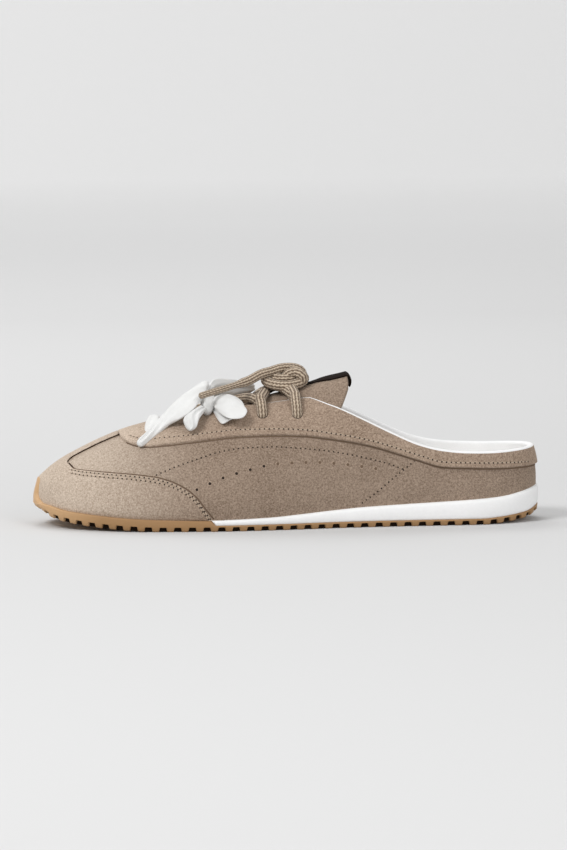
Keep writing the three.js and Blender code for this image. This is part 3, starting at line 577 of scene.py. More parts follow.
def mottled(f, darker, colour, roughness, grain, depth):
    """A finish's colour in a slight mottle between two colours, over a fine grain."""
    where = f.place()
    mottle = f.noise(where, 35.0, 3.0)
    fine = f.noise(where, grain, 2.0)
    f.feed("Base Color", f.blend((mottle * 0.7 + fine * 0.5 - 0.1).clamp(), darker, colour))
    f.feed("Roughness", mottle * 0.12 + (roughness - 0.06))
    f.feed("Normal", f.bump(fine, depth, 0.6))
    return f.material


def plain_finish(name, colour, roughness, grain=900.0, depth=0.00005, **constants):
    """A moulded or woven surface of one colour, a little darker in parts."""
    darker = tuple(0.86 * c for c in colour[:3]) + (1.0,)
    return mottled(Finish(name, **constants), darker, colour, roughness, grain, depth)


def gum_finish():
    """Gum rubber, lighter towards the tip of the toe: painted light where the lamp from the left falls
    on it.
    """
    f = Finish("gum_rubber")
    # Painted light: the tip's share, lighter towards the toe where the lamp from the left falls.
    tip = ((GUM_LIGHT_TURNS - f.axis(f.place(), "X")) / GUM_LIGHT_FADE).clamp()
    colour = f.blend(tip, linear(161, 123, 81), linear(206, 168, 124))
    darker = f.blend(tip, linear(150, 115, 75), linear(196, 158, 115))
    return mottled(f, darker, colour, 0.55, 500.0, 0.00005)


SUEDE = suede_finish("suede")
CAP_SUEDE = suede_finish("cap_suede", 1.03)
BAND_SUEDE = suede_finish("band_suede", 1.1)
SUEDE_LIGHT = suede_finish("thread_suede", 1.08)
FOOTBED = plain_finish("white_footbed_fabric", linear(236, 233, 228), 0.85, 1200.0, 0.0001)
LINING = plain_finish("white_lining", linear(243, 243, 243), 0.85, 1400.0, 0.0001)
FOAM = plain_finish("white_foam", linear(247, 247, 247), 0.55, 700.0, 0.00004)
GUM = gum_finish()
THREAD = plain_finish("light_thread", linear(186, 167, 147), 0.8, 2500.0, 0.00002)
# Painted shade: a dark dish standing for the shadow inside needle holes, punched holes and lace holes.
HOLE_SHADE = plain_finish("hole_painted_shade", linear(44, 32, 24), 0.95)
LABEL = plain_finish("dark_label", linear(26, 17, 12), 0.85, 1500.0, 0.0001, Specular_IOR_Level=0.1)
# Painted shade: dark strips where the overlays' edges fall in shadow, also the dots in the shallow
# punched holes.
SEAM_SHADE = plain_finish("seam_painted_shade", linear(112, 94, 79), 0.95, Specular_IOR_Level=0.05)
# Painted shade: the darker strips in the slits beside the strip up the toe.
SLIT_SHADE = plain_finish("toe_slit_painted_shade", linear(62, 46, 35), 0.95, Specular_IOR_Level=0.05)
# Painted shade: a dark ring inside the slots between the lugs.
RECESS_SHADE = plain_finish("lug_slot_shade", linear(34, 24, 17), 0.95, Specular_IOR_Level=0.05)


def lace_finish():
    """Braided lace: rows of slanted yarns, with ribs along its length that the weave breaks, painted
    darker in the weave's grooves and lighter on its raised ribs as shade and highlight.
    """
    f = Finish("lace_braid", Specular_IOR_Level=0.15, Sheen_Weight=0.15)
    where = f.uv()
    u, v = f.axis(where, "X"), f.axis(where, "Y")
    ribs, yarns, turn = 10.0, 9.0, 2 * math.pi
    rib = (u * (ribs * turn)).sine()
    slant = ((u * ribs + v * yarns) * turn).sine()
    other = ((v * yarns - u * ribs) * turn).sine()
    side = rib.above(0.0, 0.3)
    weave = slant * side + other * (1.0 - side)
    fuzz = f.noise(f.place(), 1300.0, 3.0, 0.7)
    height = (rib * 0.5 + weave * 0.22 + fuzz * 1.4 - 0.2).clamp()
    # Painted shade and highlight: the colour follows the weave's height, dark in its grooves and light
    # on its ribs, over the yarn's own fuzz.
    f.feed("Base Color", f.blend(height, linear(110, 91, 74), linear(208, 190, 168)))
    f.feed("Roughness", 0.88)
    f.feed("Normal", f.bump(height, 0.0006, 0.9))
    return f.material


def ribbon_finish():
    """Soft white tape: a fine weave and a gentle sheen."""
    f = Finish("white_ribbon", Sheen_Weight=0.3, Sheen_Roughness=0.4, Specular_IOR_Level=0.3)
    where = f.place()
    fine = f.noise(where, 1800.0, 2.0)
    soft = f.noise(where, 160.0, 3.0)
    f.feed("Base Color", f.blend(soft, linear(212, 212, 210), linear(226, 226, 225)))
    f.feed("Roughness", 0.7 + soft * 0.1)
    f.feed("Normal", f.bump(fine * 0.3 + soft, 0.0004, 0.5))
    return f.material


LACE_BRAID = lace_finish()
RIBBON_WHITE = ribbon_finish()


# Camera, matched to the photo: a long lens a little above the sole, the toe turned slightly near.
CAMERA_AZIMUTH = math.radians(-4.5)
CAMERA_ELEVATION = math.radians(5.5)
CAMERA_DISTANCE = 3.0
MM_PER_PIXEL = 0.5257
CAMERA_ROLL = 0.00583
CAMERA_TARGET = np.array([-1.05, 0.0, 50.87])


def make_camera():
    """Looks at the target along the azimuth and elevation, with a lens that gives the scale."""
    data = bpy.data.cameras.new("camera")
    data.sensor_width = 36.0
    data.lens = 36.0 * CAMERA_DISTANCE / (IMAGE[1] * MM_PER_PIXEL * MM)
    data.clip_end = 50.0
    camera = bpy.data.objects.new("camera", data)
    bpy.context.scene.collection.objects.link(camera)
    a, e = CAMERA_AZIMUTH, CAMERA_ELEVATION
    out = Vector((math.sin(a) * math.cos(e), -math.cos(a) * math.cos(e), math.sin(e)))
    camera.location = Vector(CAMERA_TARGET * MM) + out * CAMERA_DISTANCE
    across = Vector((math.cos(a), math.sin(a), 0.0))
    above = out.cross(across)
    turned = across - above * CAMERA_ROLL
    risen = above + across * CAMERA_ROLL
    camera.rotation_euler = Matrix((turned, risen, out)).transposed().to_euler()
    bpy.context.scene.camera = camera


def lamp(name, place, power, size):
    """A round white area light at a place in metres, turned towards the shoe."""
    data = bpy.data.lights.new(name, "AREA")
    data.energy = power
    data.shape = "DISK"
    data.size = size
    light = bpy.data.objects.new(name, data)
    light.location = place
    direction = Vector(place) - Vector((0.0, 0.0, 0.03))
    light.rotation_euler = direction.to_track_quat("Z", "Y").to_euler()
    bpy.context.scene.collection.objects.link(light)


def paper_finish():
    """Pale paper, painted lighter further back, where a painted glow also lights it a little, less so to
    the right.
    """
    f = Finish("studio_paper", Roughness=0.9, Specular_IOR_Level=0.1, Emission_Strength=1.0)
    where = f.place()
    # Painted light: the paper lightens further back, standing in for light on the backdrop.
    far = ((f.axis(where, "Y") - 0.2) / 2.4).clamp()
    back = ((f.axis(where, "Y") - 1.4) / 2.0).clamp()
    # Painted light: an emission glow on the far paper, which is no lamp.
    painted_glow = (back * (0.92 - f.axis(where, "X") * 0.2)).clamp()
    f.feed("Base Color", f.blend(far, linear(208, 208, 208), linear(232, 232, 232)))
    f.feed("Emission Color", f.blend(painted_glow, (0.0, 0.0, 0.0, 1.0), PAINTED_GLOW_COLOUR))
    return f.material


# Each lamp's name, its place in metres, its power in watts and its width in metres.
LAMPS = [
    ("key", (-1.2, -1.0, 1.6), 24.0, 0.9),
    ("fill", (1.0, -1.9, 0.9), 13.0, 1.4),
    ("back", (-0.4, 1.2, 1.6), 12.0, 1.2),
]
SKY_LIGHT = 0.55
# The colour of the backdrop's painted glow.
PAINTED_GLOW_COLOUR = (0.25, 0.25, 0.25, 1.0)


def make_stage():
    """A pale floor that curves up into a backdrop, and soft light from the upper left."""
    front, bend, depth, height, width = -4.5, 0.6, 3.4, 3.5, 5.0
    t = np.linspace(0, math.pi / 2, 24)
    arc = np.stack([depth + bend * np.sin(t), bend * (1 - np.cos(t))], axis=-1)
    profile = np.concatenate([[[front, 0.0]], arc, [[depth + bend, height]]])
    y, z = profile[None, :, 0], profile[None, :, 1]
    grid = np.stack(np.broadcast_arrays(np.array([[-width], [width]]), y, z), axis=-1)
    paper = bpy.data.meshes.new("studio_floor")
    faces = grid_faces(2, grid.shape[1], flip=True)
    paper.from_pydata(grid.reshape(-1, 3).tolist(), [], faces.tolist())
    paper.materials.append(paper_finish())
    paper.polygons.foreach_set("use_smooth", np.full(len(paper.polygons), True))
    floor = bpy.data.objects.new("studio_floor", paper)
    bpy.context.scene.collection.objects.link(floor)
    world = bpy.data.worlds.new("studio")
    world.use_nodes = True
    background = world.node_tree.nodes["Background"]
    background.inputs["Color"].default_value = (1.0, 1.0, 1.0, 1.0)
    background.inputs["Strength"].default_value = SKY_LIGHT
    bpy.context.scene.world = world
    for values in LAMPS:
        lamp(*values)
    bpy.context.scene.view_settings.view_transform = "Standard"


# The upper's layers.
def row_shares(count, extra):
    """Shares along the length, spaced as the last's sections are, with some more of them."""
    end = np.linspace(0, 1, count)
    share = (1 - np.cos(math.pi * end)) / 2
    x = along(0) + TOE_INSET + share * LAST_LENGTH
    return np.unique(np.concatenate([share_of(x), extra]))


def bunched(start, reach, count):
    """Shares from a start over a reach, close together at the start, by a cosine."""
    return start + reach * (1 - np.cos(np.linspace(0, math.pi / 2, count)))


THROAT_ROWS = bunched(THROAT_FRONT, 0.024, 14)


def with_skirt(grid):
    """A grid of points with a row below its first column, tucked behind the sole's edge."""
    return np.concatenate([grid[:, :1] - np.array([0, 0, SKIRT]), grid], axis=1)


# Soft troughs where the shoe bends, on each side: share of length, height, slant, length, width, depth.
CREASES = [
    (0.285, 27.0, 0.5, 11.0, 2.6, 0.28), (0.32, 30.0, 0.35, 12.0, 3.0, 0.3),
    (0.36, 27.0, 0.2, 10.0, 3.4, 0.22), (0.66, 26.0, -0.5, 12.0, 4.0, 0.25),
    (0.82, 20.0, -0.1, 9.0, 5.0, 0.3),
]


def crease_depth(points):
    """How far the suede sinks at points: a smooth trough along a short slanted line for each crease."""
    sunk = np.zeros(points.shape[:-1])
    for at, z, slant, length, width, depth in CREASES:
        x, rise = points[..., 0] - along(at), points[..., 2] - z
        across = x * math.cos(slant) - rise * math.sin(slant)
        run = x * math.sin(slant) + rise * math.cos(slant)
        sunk += depth * np.exp(-((across / width) ** 2) - (run / length) ** 4)
    return sunk


def make_upper():
    """Outer suede, from just inside the sole's edge to the opening, a little creased."""
    at = row_shares(150, THROAT_ROWS)
    grids = []
    for side in (-1, 1):
        up = toward(44, 1.3)[None, :] * opening_up(at, side)[:, None]
        grid = with_skirt(skin(at[:, None], up, side))
        sunk = np.array([0.0, -side, 0.0]) * crease_depth(grid)[..., None]
        grids.append((grid + sunk, side > 0))
    sheets("upper_suede", grids, SUEDE)


def make_lining():
    """White lining: the inner wall, and its edge rolled up over the rim of the suede."""
    at = row_shares(150, THROAT_ROWS)
    grids = []
    roll = np.linspace(0, math.pi, 9)
    for side in (-1, 1):
        top = opening_up(at, side)
        wall = skin(at[:, None], np.linspace(0, 1, 24)[None, :] * top[:, None], side, -WALL)
        rim_out = skin(at, top, side, GAP + OVERLAY * (0.25 + 0.7 * ramp(at, 0.44, 0.02)))
        rim_in = wall[:, -1]
        across = rim_out - rim_in
        run = np.gradient(rim_out, axis=0)
        rise = unit(np.cross(unit(run), unit(across))) * side
        bead = ((rim_out + rim_in) / 2)[:, None] - across[:, None] / 2 * np.cos(roll)[None, :, None]
        bead += rise[:, None] * LINING_EDGE * np.sin(roll)[None, :, None]
        grids.append((np.concatenate([wall, bead[:, 1:]], axis=1), side < 0))
    sheets("white_lining_wall", grids, LINING)


def edge_lift(points, edges):
    """How far each point is lifted: the overlay's height, rolled down at the nearest edge."""
    flat = points.reshape(-1, 3)
    nearest = np.full(len(flat), np.inf)
    for edge in edges:
        for block in np.array_split(np.arange(len(flat)), max(1, len(flat) // 4000)):
            gap = np.linalg.norm(flat[block, None, :] - edge[None, :, :], axis=-1)
            nearest[block] = np.minimum(nearest[block], gap.min(axis=1))
    t = np.clip(nearest / EDGE_ROLL, 0, 1)
    lift = ON_OVERLAY * rounded(t) - EDGE_DIP * (1 - t) ** 4
    return lift.reshape(points.shape[:-1])


def overlay(at, up, side, edges):
    """Points of an overlay above the upper, rolled down at its edges."""
    return skin(at, up, side, edge_lift(skin(at, up, side), edges))


BAND_FRONT = 0.1685
BAND_CORNER = 0.006


def band_low(at):
    """The band's lower edge, up the section, rounded into its front edge over the vamp."""
    edge = up_at_height(at, INSTEP_HEIGHT * band_rise(at))
    t = ramp(at, BAND_FRONT, BAND_CORNER)
    return 1 - (1 - edge) * (0.55 * np.minimum(t * 40, 1) + 0.45 * rounded(t))


def make_band():
    """Eyestay and collar band: suede from its lower edge to the opening, on both sides."""
    corner = bunched(BAND_FRONT, BAND_CORNER, 10)
    at = row_shares(190, np.concatenate([THROAT_ROWS, corner]))
    at = at[at >= BAND_FRONT]
    grids = []
    for side in (-1, 1):
        low, high = band_low(at), opening_up(at, side)
        mix = 1 - toward(30, 1.7)[::-1]
        up = low[:, None] + (high - low)[:, None] * mix[None, :]
        grid = overlay(at[:, None], up, side, [denser(skin(at, low, side))])
        last = skin(at, high, side)
        grids.append((np.concatenate([grid, last[:, None]], axis=1), side > 0))
    sheets("eyestay_suede", grids, BAND_SUEDE)


CAP_FORK = 0.069
CAP_END = 0.361
STRIP_HALF = 7.7
STRIP_END = 0.172
STRIP_FLARE = 4.5
STRIP_TURN = 0.016
WING_TURN = 0.012


def strip_low(at, side):
    """The strip's edge on each side of the ridge, up the section, flared where the cap forks."""
    flare = STRIP_FLARE * (1 - rounded(ramp(at, CAP_FORK, STRIP_TURN)))
    return up_at_half(at, STRIP_HALF + flare, side)


def cap_low(at, side):
    """The wings' upper edge, up the section, opening smoothly away from the strip's edge."""
    edge = up_at_height(at, INSTEP_HEIGHT * cap_rise(at))
    fork = strip_low(at, side)
    share = rounded(ramp(at, CAP_FORK, WING_TURN))
    return np.where(at < CAP_FORK, fork, fork + (edge - fork) * share)


def make_toe_cap():
    """Toe cap: suede over the toe that forks into two wings and a strip up the vamp."""
    wing_at = row_shares(220, np.concatenate([bunched(CAP_FORK, 0.01, 12), [CAP_END]]))
    wing_at = wing_at[wing_at <= CAP_END]
    strip_at = wing_at[wing_at <= STRIP_END]
    grids = []
    for side in (-1, 1):
        top = cap_low(wing_at, side)
        behind = wing_at >= CAP_FORK
        low = strip_low(strip_at, side)
        past = strip_at >= CAP_FORK
        edges = [
            denser(skin(wing_at[behind], top[behind], side)),
            denser(skin(strip_at[past], low[past], side)),
        ]
        up = toward(40, 1.6)[None, :] * top[:, None]
        grids.append((with_skirt(overlay(wing_at[:, None], up, side, edges)), side > 0))
        up = low[:, None] + (1 - low)[:, None] * (1 - toward(16, 1.6)[::-1])[None, :]
        grids.append((overlay(strip_at[:, None], up, side, edges), side > 0))
    sheets("toe_cap_suede", grids, CAP_SUEDE)


# The sole.
def sole_rim(shares, inset=0.0):
    """Points round the sole's plan: the lateral side from toe to heel, then back by the medial."""
    def side_points(at, side):
        """One side's points: the middle line and the inset half width beside it."""
        half = np.maximum(half_width(at) - inset, 0) * round_ends(at)
        return np.stack([along(at), middle(at) + side * half, np.zeros_like(at)], axis=-1)

    return np.concatenate([side_points(shares, -1), side_points(shares[::-1], 1)[1:-1]])


def rim_stations(count, inset=0.0):
    """Points at equal steps round the sole's rim, and the rim's whole length."""
    shares = (1 - np.cos(np.linspace(0, math.pi, 900))) / 2
    rim = sole_rim(shares, inset)
    rim = np.concatenate([rim, rim[:1]])
    walked = walked_along(rim)
    return at_lengths(np.arange(count) / count * walked[-1], walked, rim), walked[-1]


def ring_normals(points):
    """Outward directions in plan of a closed ring that runs heelwards on the lateral side."""
    run = unit(np.roll(points, -1, axis=0) - np.roll(points, 1, axis=0))
    return np.stack([run[:, 1], -run[:, 0], np.zeros(len(run))], axis=-1)


def onto_spine(ring):
    """A ring's points moved across onto the sole's middle line, which closes its face."""
    return np.stack([ring[:, 0], middle(share_of(ring[:, 0])), ring[:, 2]], axis=-1)


def make_outsole():
    """Gum outsole: a rim profile carried round the plan, its lower edge notched between lugs."""
    count = int(round(rim_stations(1)[1] / LUG_PITCH)) * POINTS_PER_LUG
    rim, _ = rim_stations(count)
    out = ring_normals(rim)
    at = np.clip(share_of(rim[:, 0]), 0, 1)
    phase = (np.arange(count) / POINTS_PER_LUG) % 1.0
    from_slot = (np.abs(phase - 0.5) * LUG_PITCH - LUG_SLOT / 2) / SLOT_EDGE
    notch = np.clip(0.5 - from_slot, 0, 1)
    notch = notch * notch * (3 - 2 * notch)
    low = tread_height(at)
    whole = feather_height(at) - 0.1
    thin = np.minimum(whole, low + OUTSOLE + 0.15)
    top = whole + (thin - whole) * ramp(at, MIDSOLE_FRONT, 0.008)
    base = low + LUG_HEIGHT
    foot = low + notch * LUG_HEIGHT
    profile = [
        (-6.0, top),
        (-0.5, top),
        (-0.12, top - 0.12),
        (0.0, top - 0.5),
        (0.05, np.minimum(base + 0.3, top - 0.6)),
        (0.0, np.minimum(base, top - 0.8)),
        (-0.1, np.minimum(foot + 0.6, base)),
        (-0.7, foot),
        (-LUG_DEPTH + 1.0, foot),
        (-LUG_DEPTH, foot),
        (-LUG_DEPTH - 1.0, low),
    ]
    rings = []
    curl = TOE_CURL * np.clip(1 - at / TOE_CURL_REACH, 0, 1)
    for inset, z in profile:
        ring = rim + out * inset
        depth = np.clip((whole - z) / (whole - low), 0, 1)
        rings.append(np.stack([ring[:, 0] + curl * depth**1.5, ring[:, 1], z], axis=-1))
    rings = [onto_spine(rings[0])] + rings + [onto_spine(rings[-1])]
    points = np.stack(rings, axis=0).reshape(-1, 3)
    faces = grid_faces(len(rings), count, wrap=True, flip=True)
    mesh_object("gum_outsole", points, faces, GUM, merge=2e-6)
    # Painted shade: a dark ring inside the slots between the lugs, where the slots fall in shadow.
    foot_ring = rim - out * 1.7 + np.stack([curl, 0 * curl, low + 0.1], axis=-1)
    roof_ring = rim - out * 1.5 + np.stack([curl, 0 * curl, base + 0.1], axis=-1)
    points = np.concatenate([foot_ring, roof_ring])
    mesh_object("lug_slot_shade", points, grid_faces(2, count, wrap=True), RECESS_SHADE, merge=0)


def make_midsole():
    """White midsole: a rounded side profile carried round the plan behind the waist."""
    rim, _ = rim_stations(1400, inset=0.15)
    out = ring_normals(rim)
    at = np.clip(share_of(rim[:, 0]), 0, 1)
    low = np.minimum(tread_height(at) + OUTSOLE + 0.05, feather_height(at))
    top = feather_height(at) + 0.15
    low = top + (low - top) * ramp(at, MIDSOLE_FRONT, 0.0085)
    shares = np.array([0.0, 0.0, 0.03, 0.12, 0.3, 0.55, 0.8, 0.93, 1.0, 1.0])
    bulge = np.array([-6.0, -0.8, -0.25, 0.0, 0.25, 0.35, 0.3, 0.05, -0.45, -6.0])
    tip = (1 - ramp(at, MIDSOLE_FRONT, 0.01)) * 1.2
    grid = rim[None] + out[None] * (bulge[:, None] - tip[None])[..., None]
    grid[..., 2] = low + (top - low) * shares[:, None]
    faces = grid_faces(len(grid), len(rim), wrap=True)
    shown = np.all(at[faces % len(rim)] > MIDSOLE_FRONT - 0.001, axis=1)
    mesh_object("white_midsole", grid.reshape(-1, 3), faces[shown], FOAM, merge=0)


def make_bumper():
    """A tab of gum up the toe's front: a layer over the cap that thins out at its edges."""
    end = np.linspace(0, 0.16, 60) ** 1.5 * 0.16**-0.5
    grids, shown = [], []
    for side in (-1, 1):
        up = toward(50, 1.3)[None, :]
        base = last_point(end[:, None], up, side)
        half = TAB_HALF + TAB_FLARE * np.clip((TAB_FOOT - base[..., 2]) / 5.0, 0, 1) ** 2
        across = np.clip((half - np.abs(base[..., 1] - middle(0.0))) / TAB_SIDE, 0, 1)
        rise = np.clip((TAB_TOP - base[..., 2]) / TAB_FADE, 0, 1)
        mask = np.sqrt(across * (2 - across)) * rise * rise * (3 - 2 * rise)
        layer = raised(end[:, None], up, side, ON_OVERLAY - 0.5 + (BUMPER + 0.6) * mask)
        foot = layer[:, :1] + np.array([0.9, 0, -2.2])
        grids.append((np.concatenate([foot, layer], axis=1), side > 0))
        shown.append(np.concatenate([mask[:, :1], mask], axis=1))
    shown = np.concatenate([part.ravel() for part in shown])
    sheets("gum_bumper", grids, GUM, keep=lambda face: shown[face].max(axis=1) > 0)


# Stitches and punched holes.
def line_of(rows, side, lift, pitch, drop=0.0, start=0.5):
    """Points, outward and running directions at equal steps along a line on the upper.

    The rows give the line's height, as a share of the instep's, by share of the length.
    """
    at = np.linspace(rows[0][0], rows[-1][0], 240)
    up = up_at_height(at, INSTEP_HEIGHT * curve(rows, 1)(at) + drop)
    points = skin(at, up, side, lift)
    walked = walked_along(points)
    steps = np.arange(start * pitch, walked[-1], pitch)
    out = unit(at_lengths(steps, walked, skin_normal(at, up, side)))
    points = at_lengths(steps, walked, points)
    run = unit(np.gradient(points, axis=0))
    out = unit(out - run * np.sum(out * run, axis=-1, keepdims=True))
    return points, out, run


def stamp(name, template, faces, places, material):
    """Copies of a small template, one at each (points, out, run), as one mesh."""
    points, out, run = (np.concatenate(part) for part in zip(*places))
    basis = np.stack([run, np.cross(out, run), out], axis=1)
    verts = np.einsum("mk,nkj->nmj", template, basis) + points[:, None]
    shift = (np.arange(len(points)) * len(template))[:, None, None]
    mesh_object(name, verts.reshape(-1, 3), (faces + shift).reshape(-1, 4), material, merge=0)


def bead_template(length, width, height):
    """A long bead: circles along a rounded profile, closed to a point at both ends."""
    t = np.linspace(-1, 1, 9)
    around = np.linspace(0, 2 * math.pi, 9)[:-1]
    swell = np.sqrt(np.maximum(1 - t**4, 0.0))
    x = np.repeat(t[:, None] * length / 2, 8, axis=1)
    y = swell[:, None] * np.cos(around)[None] * width / 2
    z = swell[:, None] * np.sin(around)[None] * height / 2
    return np.stack([x, y, z], axis=-1).reshape(-1, 3), grid_faces(9, 8, wrap=True, flip=True)


def dish_template(rows):
    """A round dish: (radius, height) rows carried round a turn."""
    around = np.linspace(0, 2 * math.pi, 13)[:-1]
    rows = np.array(rows)
    x = rows[:, :1] * np.cos(around)[None]
    y = rows[:, :1] * np.sin(around)[None]
    z = np.repeat(rows[:, 1:], 12, axis=1)
    return np.stack([x, y, z], axis=-1).reshape(-1, 3), grid_faces(len(rows), 12, wrap=True)


STITCH_PITCH = 2.5
PUNCH_PITCH = 7.45
DEEP_HOLES = 6

# The quarter's two stitch lines and its arc of punched holes, as shares of length and instep.
LINE_ONE = [
    (0.228, 0.381), (0.262, 0.431), (0.313, 0.494), (0.364, 0.549), (0.415, 0.574), (0.465, 0.578),
    (0.516, 0.565), (0.563, 0.547), (0.614, 0.515), (0.664, 0.473), (0.694, 0.442), (0.722, 0.402),
]
LINE_TWO = [(0.633, 0.152), (0.671, 0.249), (0.697, 0.326), (0.723, 0.398), (0.746, 0.465)]
HOLE_ARC = [
    (0.314, 0.292), (0.364, 0.369), (0.418, 0.424), (0.473, 0.461), (0.531, 0.466), (0.586, 0.454),
    (0.642, 0.427), (0.672, 0.407),
]


def seam_places():
    """Every seam: (points, out, run) lists, for the overlays' edges and the quarter."""
    double, single, quarter = [], [], []
    for side in (-1, 1):
        cap = [row for row in CAP_EDGE if row[0] > 0.065]
        for drop in (-1.1, -2.6):
            double.append(line_of(cap, side, ON_OVERLAY, STITCH_PITCH, drop))
        band = [row for row in BAND_EDGE if 0.18 < row[0] < 1.0] + [(0.972, 0.39)]
        single.append(line_of(band, side, ON_OVERLAY, STITCH_PITCH, 2.7))
        quarter.append(line_of(LINE_ONE, side, 0.0, STITCH_PITCH))
        quarter.append(line_of(LINE_TWO, side, 0.0, STITCH_PITCH))
    return double, single, quarter


def edge_shade_strip(at, up, side, rows):
    """A narrow strip of painted shade along a line on the upper, through rows of (outward, lift)."""
    out = skin_normal(at, up, side)
    points = skin(at, up, side)
    run = unit(np.gradient(points, axis=0))
    down = unit(np.cross(out, run)) * -side
    lines = [points + down * np.asarray(outward)[..., None] + out * lift for outward, lift in rows]
    return np.stack(lines, axis=1), side > 0


def near_fork(reach, stop):
    """Shares from the fork on, close together where its edge turns."""
    turn = bunched(CAP_FORK, reach, 40)
    return np.concatenate([turn, np.linspace(CAP_FORK + reach, stop, 200)[1:]])


def make_seam_shade():
    """Painted shadow: dark strips under the overlays' edges, and in the slits beside the strip up the
    toe.
    """
    soft, dark = [], []
    for side in (-1, 1):
        at = np.linspace(BAND_FRONT + 0.014, 0.999, 700)
        soft.append(edge_shade_strip(at, band_low(at), side, [(0.35, 0.08), (0.0, 0.1), (-0.8, 0.08)]))
        at = near_fork(WING_TURN, CAP_END - 0.001)
        fade = 0.55 * ramp(at, 0.24, 0.08)
        soft.append(edge_shade_strip(at, cap_low(at, side), side, [(-fade, 0.08), (0.8, 0.08)]))
        at = near_fork(STRIP_TURN, STRIP_END)
        wall = [(1.4, 0.08), (0.1, 0.2), (-0.1, 1.15)]
        dark.append(edge_shade_strip(at, strip_low(at, side), side, wall))
        at = near_fork(0.006, 0.076)
        dark.append(edge_shade_strip(at, cap_low(at, side), side, [(-1.3, 0.08), (0.8, 0.08)]))
    sheets("seam_shade_strips", soft, SEAM_SHADE)
    sheets("toe_slit_shade_strips", dark, SLIT_SHADE)


def make_stitches():
    """Beads of thread along the seams, with a dark dot of painted shadow for the needle hole between
    each two.
    """
    double, single, quarter = seam_places()
    bead, faces = bead_template(1.9, 0.62, 0.6)
    stamp("seam_stitches", bead, faces, double + single, THREAD)
    small, faces = bead_template(1.8, 0.5, 0.35)
    stamp("quarter_stitches", small, faces, quarter, SUEDE_LIGHT)
    dot, faces = dish_template([(0.43, 0.05), (0.2, 0.07), (0.0, 0.07)])
    shift = STITCH_PITCH / 2
    between = [(p + r * shift, o, r) for p, o, r in double + single + quarter]
    stamp("needle_hole_shade", dot, faces, between, HOLE_SHADE)


def make_punched_holes():
    """Punched holes in an arc, each a dish of painted shade inside a raised lip: the first ones dark as
    deep holes, then less dark as shallow ones.
    """
    places = [line_of(HOLE_ARC, side, 0.0, PUNCH_PITCH, start=0.0) for side in (-1, 1)]
    deep = [tuple(part[:DEEP_HOLES] for part in place) for place in places]
    shallow = [tuple(part[DEEP_HOLES:] for part in place) for place in places]
    lip, faces = dish_template([(1.3, -0.05), (1.15, 0.12), (0.95, 0.2), (0.8, 0.12), (0.75, 0.0)])
    stamp("punched_lips", lip, faces, places, SUEDE_LIGHT)
    dot, faces = dish_template([(0.82, 0.08), (0.3, 0.05), (0.0, 0.05)])
    stamp("punched_hole_shade", dot, faces, deep, HOLE_SHADE)
    stamp("shallow_hole_shade", dot, faces, shallow, SEAM_SHADE)


# The tongue, its label and the footbed.
def tongue_arch(at):
    """How far the tongue bulges up behind the laces, falling away again before its end."""
    climb = np.sin(math.pi / 2 * ramp(at, 0.4, 0.08)) ** 2
    return TONGUE_ARCH * climb * np.cos(math.pi / 2 * ramp(at, 0.565, 0.06)) ** 2


def tongue_sheet(lift, first, last, rows, columns, half_of):
    """A patch of the tongue at a lift, from one share of the length to another."""
    at = (first + (last - first) * toward(rows, 1.6))[:, None]
    across = np.linspace(-1, 1, columns)[None, :]
    side = np.where(across < 0, -1, 1)
    up = up_at_half(at, half_of(at) * np.abs(across), side)
    return skin(at, up, side, lift + tongue_arch(at))


def slab(name, top, bottom, material, swell):
    """A thick piece between two sheets of points: its rim is rounded over by circles."""
    centre = (top + bottom) / 2
    half = (top - bottom) / 2
    rows, columns = top.shape[:2]
    rim, lift = (
        np.concatenate([part[0, :-1], part[:-1, -1], part[-1, :0:-1], part[:0:-1, 0]])
        for part in (centre, half)
    )
    run = unit(np.roll(rim, -1, axis=0) - np.roll(rim, 1, axis=0))
    out = unit(np.cross(run, unit(lift)))
    inward = unit(centre.reshape(-1, 3).mean(axis=0) - rim)
    out = out * -np.sign(np.sum(out * inward, axis=-1, keepdims=True))
    turn = np.linspace(0, math.pi, 9)[:, None, None]
    size = np.linalg.norm(lift, axis=-1, keepdims=True)
    edge = rim[None] + lift[None] * np.cos(turn) + (out * size)[None] * np.sin(turn) * swell
    points = [top.reshape(-1, 3), bottom.reshape(-1, 3), edge.reshape(-1, 3)]
    count = rows * columns
    faces = [
        grid_faces(rows, columns, 0),
        grid_faces(rows, columns, count, flip=True),
        grid_faces(9, len(rim), 2 * count, wrap=True),
    ]
    points, faces = np.concatenate(points), np.concatenate(faces)
    face_outwards(mesh_object(name, points, faces, material, merge=2e-5))


def folded(edge, turn, out, fall):
    """An edge's points carried round part of an ellipse, outwards and down."""
    shift = np.stack([out * np.sin(turn), 0 * turn, -fall * (1 - np.cos(turn))], axis=-1)
    level = np.zeros((len(turn),) + edge.shape)
    flat = np.minimum(turn / (math.pi / 2), 1)
    level[..., 2] = (edge[:, 2].max() - 0.5 - edge[None, :, 2]) * flat[:, None]
    return edge[None] + shift[:, None] + level


